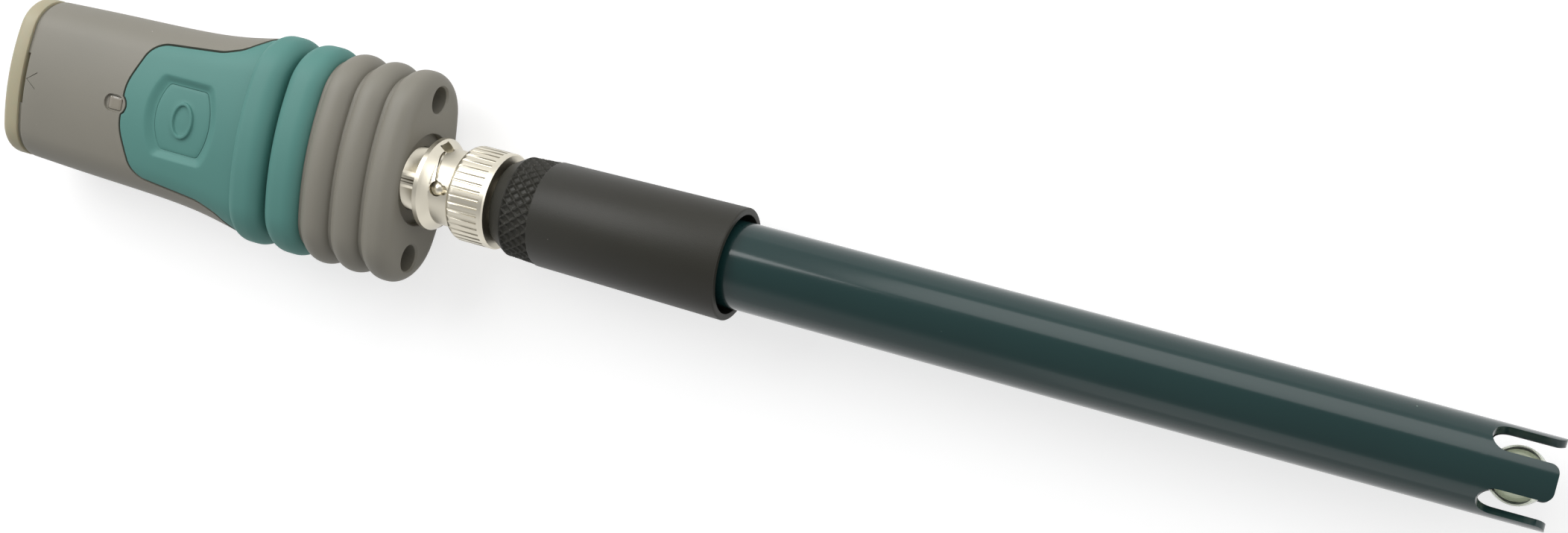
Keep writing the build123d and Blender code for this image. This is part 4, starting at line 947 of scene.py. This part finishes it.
PRY_HALF_WIDTH = 4.0
ARROW_TIP = 232.25
ARROW_TAIL = 230.35
ARROW_HALF_WIDTH = 1.25
ARROW_LINE = 0.14
ARROW_OVERLAP = 0.03
ARROW_FLOOR = 6.45
SLIT_FLOOR = 4.6
ABOVE_BODY = 8.0
slit_start, slit_end = BODY_REAR - 0.35, LIP_REAR + 0.2
pry_slit = bar("slit", [
    (slit_start, -PRY_HALF_WIDTH), (slit_start, PRY_HALF_WIDTH), (slit_end, PRY_HALF_WIDTH),
    (slit_end, -PRY_HALF_WIDTH)], SLIT_FLOOR, ABOVE_BODY)
arrow_bars = [
    bar("arrow", [
        (ARROW_TIP, -side * ARROW_OVERLAP), (ARROW_TAIL, side * ARROW_HALF_WIDTH),
        (ARROW_TAIL + ARROW_LINE, side * (ARROW_HALF_WIDTH + ARROW_LINE / 2)),
        (ARROW_TIP + ARROW_LINE, -side * ARROW_OVERLAP)], ARROW_FLOOR, ABOVE_BODY)
    for side in (-1, 1)]
body = oval_sweep("grey_body", body_path(), body_sizes)
cut(body, [pry_slit] + arrow_bars + [
    plug("pocket", BUTTON_STATION, pocket_reach, angles, -1.0, PANEL_THICKNESS + 0.02, 9),
    plug("opening", BUTTON_STATION, opening_reach + BODY_OPENING_MARGIN, angles, 0.6, 3.4, 2),
    plug("window", WINDOW_MIDDLE, window_reach, round_angles, -0.5, 0.35, 2),
    plug("lens_hole", LENS_MIDDLE, lens_reach + 0.06, round_angles, 0.1, 3.0, 1),
])
dress(body, housing_plastic, "handle", "housing_plastic", "body_shell")

LENS_FOOT = 1.95
LENS_TOP = 0.25
lens_rings = [
    (lens_reach * 0, LENS_FOOT), (lens_reach, LENS_FOOT), (lens_reach, LENS_TOP + 0.15),
    (lens_reach - 0.03, LENS_TOP + 0.05), (lens_reach - 0.12, LENS_TOP), (lens_reach * 0.5, LENS_TOP),
    (lens_reach * 0, LENS_TOP)]
lens = ringed("window_lens", LENS_MIDDLE, lens_rings, round_angles, wrap=False)
dress(lens, lens_plastic, "handle", "lens_plastic", "indicator_lens")

# End cap


COVER_ROUND = 1.3
COVER_INSET = 4.4
SKIRT_FRONT = 228.4
SKIRT_INSET = 2.3
SKIRT_WALL = 1.0


def rear_sizes(station):
    """The end cap has the body's last section all along."""
    return np.full_like(station, BODY_HALF_WIDTHS[-1]), np.full_like(station, BODY_HALF_DEPTHS[-1])


def end_cap():
    """Oval cap swept from its rear face over the round to the skirt that enters the body."""
    turn = np.linspace(0, pi / 2, 9)
    round_rear = np.stack(
        [OVERALL - COVER_ROUND * (1 - np.cos(turn)), COVER_ROUND * (1 - np.sin(turn))], axis=1)
    skirt_inside = SKIRT_INSET + SKIRT_WALL
    path = np.concatenate([
        [[OVERALL, COVER_INSET], [OVERALL, 3.0]], round_rear,
        [[LIP_REAR + 0.3, 0.0], [LIP_REAR + 0.09, 0.09], [LIP_REAR, 0.3], [LIP_REAR, SKIRT_INSET],
         [SKIRT_FRONT, SKIRT_INSET], [SKIRT_FRONT, skirt_inside], [LIP_REAR - 0.02, skirt_inside],
         [LIP_REAR - 0.02, COVER_INSET]]])
    return oval_sweep("pale_end_cap", path, rear_sizes, closed=False)


dress(fill_ends(end_cap()), cover_plastic, "end_cover", "cover_plastic", "end_cap")

# Camera at the photograph's angle

camera = bpy.data.objects.new("camera", bpy.data.cameras.new("camera"))
bpy.context.scene.collection.objects.link(camera)
right = Vector((0.911563, 0.214749, -0.350622))
up = Vector((-0.244741, 0.968634, -0.043020))
forward = Vector((-0.330386, -0.125026, -0.935528))
place = Vector((0.113457, 0.039469, 0.293435))
camera.matrix_world = Matrix.LocRotScale(place, Matrix((right, up, -forward)).transposed(), None)
camera.data.sensor_fit = "HORIZONTAL"
camera.data.sensor_width = 36.0
camera.data.lens = 49.94
camera.data.clip_start = 0.01
bpy.context.scene.camera = camera

# Studio: white to the camera, dim overhead, soft boxes at the sides

scene = bpy.context.scene
scene.view_settings.view_transform = "Standard"
world = bpy.data.worlds.new("studio")
scene.world = world
world.use_nodes = True
sky = world.node_tree
sky.nodes.clear()
direction = sky.nodes.new("ShaderNodeTexCoord")
parts = sky.nodes.new("ShaderNodeSeparateXYZ")
dim = sky.nodes.new("ShaderNodeMapRange")
dim.interpolation_type = "SMOOTHSTEP"
for label, value in (("From Min", 0.55), ("From Max", 0.85), ("To Min", 0.9), ("To Max", 0.4)):
    dim.inputs[label].default_value = value
path_info = sky.nodes.new("ShaderNodeLightPath")
level = sky.nodes.new("ShaderNodeMix")
level.data_type = "FLOAT"
level.inputs[3].default_value = 1.0
ambient = sky.nodes.new("ShaderNodeMix")
ambient.data_type = "FLOAT"
ambient.inputs[2].default_value = 0.3
open_view = sky.nodes.new("ShaderNodeMath")
open_view.operation = "MAXIMUM"
background = sky.nodes.new("ShaderNodeBackground")
sky_out = sky.nodes.new("ShaderNodeOutputWorld")
sky.links.new(direction.outputs["Generated"], parts.inputs[0])
sky.links.new(parts.outputs[2], dim.inputs["Value"])
sky.links.new(path_info.outputs["Is Camera Ray"], open_view.inputs[0])
sky.links.new(path_info.outputs["Is Transmission Ray"], open_view.inputs[1])
sky.links.new(open_view.outputs[0], level.inputs[0])
sky.links.new(path_info.outputs["Is Glossy Ray"], ambient.inputs[0])
sky.links.new(dim.outputs[0], ambient.inputs[3])
sky.links.new(ambient.outputs[0], level.inputs[2])
sky.links.new(level.outputs[0], background.inputs["Strength"])
sky.links.new(background.outputs[0], sky_out.inputs[0])
background.inputs["Color"].default_value = (1, 1, 1, 1)


def soft_box(name, place, size, power):
    """Square area lamp that faces the middle of the object."""
    lamp = bpy.data.lights.new(name, "AREA")
    lamp.size = size
    lamp.energy = power
    obj = bpy.data.objects.new(name, lamp)
    scene.collection.objects.link(obj)
    obj.location = place
    obj.rotation_euler = (-Vector(place)).to_track_quat("-Z", "Y").to_euler()


soft_box("key", (-0.5, 0.35, 0.5), 0.5, 4.0)
soft_box("far_side", (0.05, 0.6, 0.4), 0.5, 1.5)
soft_box("near_side", (0.1, -0.6, 0.35), 0.4, 0.25)
soft_box("front", (0.7, 0.25, 0.2), 0.6, 2.2)

# Floor

floor_mesh = bpy.data.meshes.new("floor")
floor_corners = [(x, y, -0.0002) for x, y in ((-2, -2), (2, -2), (2, 2), (-2, 2))]
floor_mesh.from_pydata(floor_corners, [], [(0, 1, 2, 3)])
floor = bpy.data.objects.new("floor", floor_mesh)
scene.collection.objects.link(floor)
pale = bpy.data.materials.new("Pale floor")
pale.use_nodes = True
floor_tree = pale.node_tree
floor_tree.nodes.clear()
matt = floor_tree.nodes.new("ShaderNodeBsdfDiffuse")
matt.inputs["Color"].default_value = (0.45, 0.45, 0.45, 1)
glow = floor_tree.nodes.new("ShaderNodeEmission")
rays = floor_tree.nodes.new("ShaderNodeLightPath")
seen = floor_tree.nodes.new("ShaderNodeMath")
seen.operation = "MAXIMUM"
amount = floor_tree.nodes.new("ShaderNodeMath")
amount.operation = "MULTIPLY"
amount.inputs[1].default_value = 0.68
both = floor_tree.nodes.new("ShaderNodeAddShader")
floor_out = floor_tree.nodes.new("ShaderNodeOutputMaterial")
floor_tree.links.new(rays.outputs["Is Camera Ray"], seen.inputs[0])
floor_tree.links.new(rays.outputs["Is Glossy Ray"], seen.inputs[1])
floor_tree.links.new(seen.outputs[0], amount.inputs[0])
floor_tree.links.new(amount.outputs[0], glow.inputs["Strength"])
floor_tree.links.new(matt.outputs[0], both.inputs[0])
floor_tree.links.new(glow.outputs[0], both.inputs[1])
floor_tree.links.new(both.outputs[0], floor_out.inputs[0])
floor_mesh.materials.append(pale)
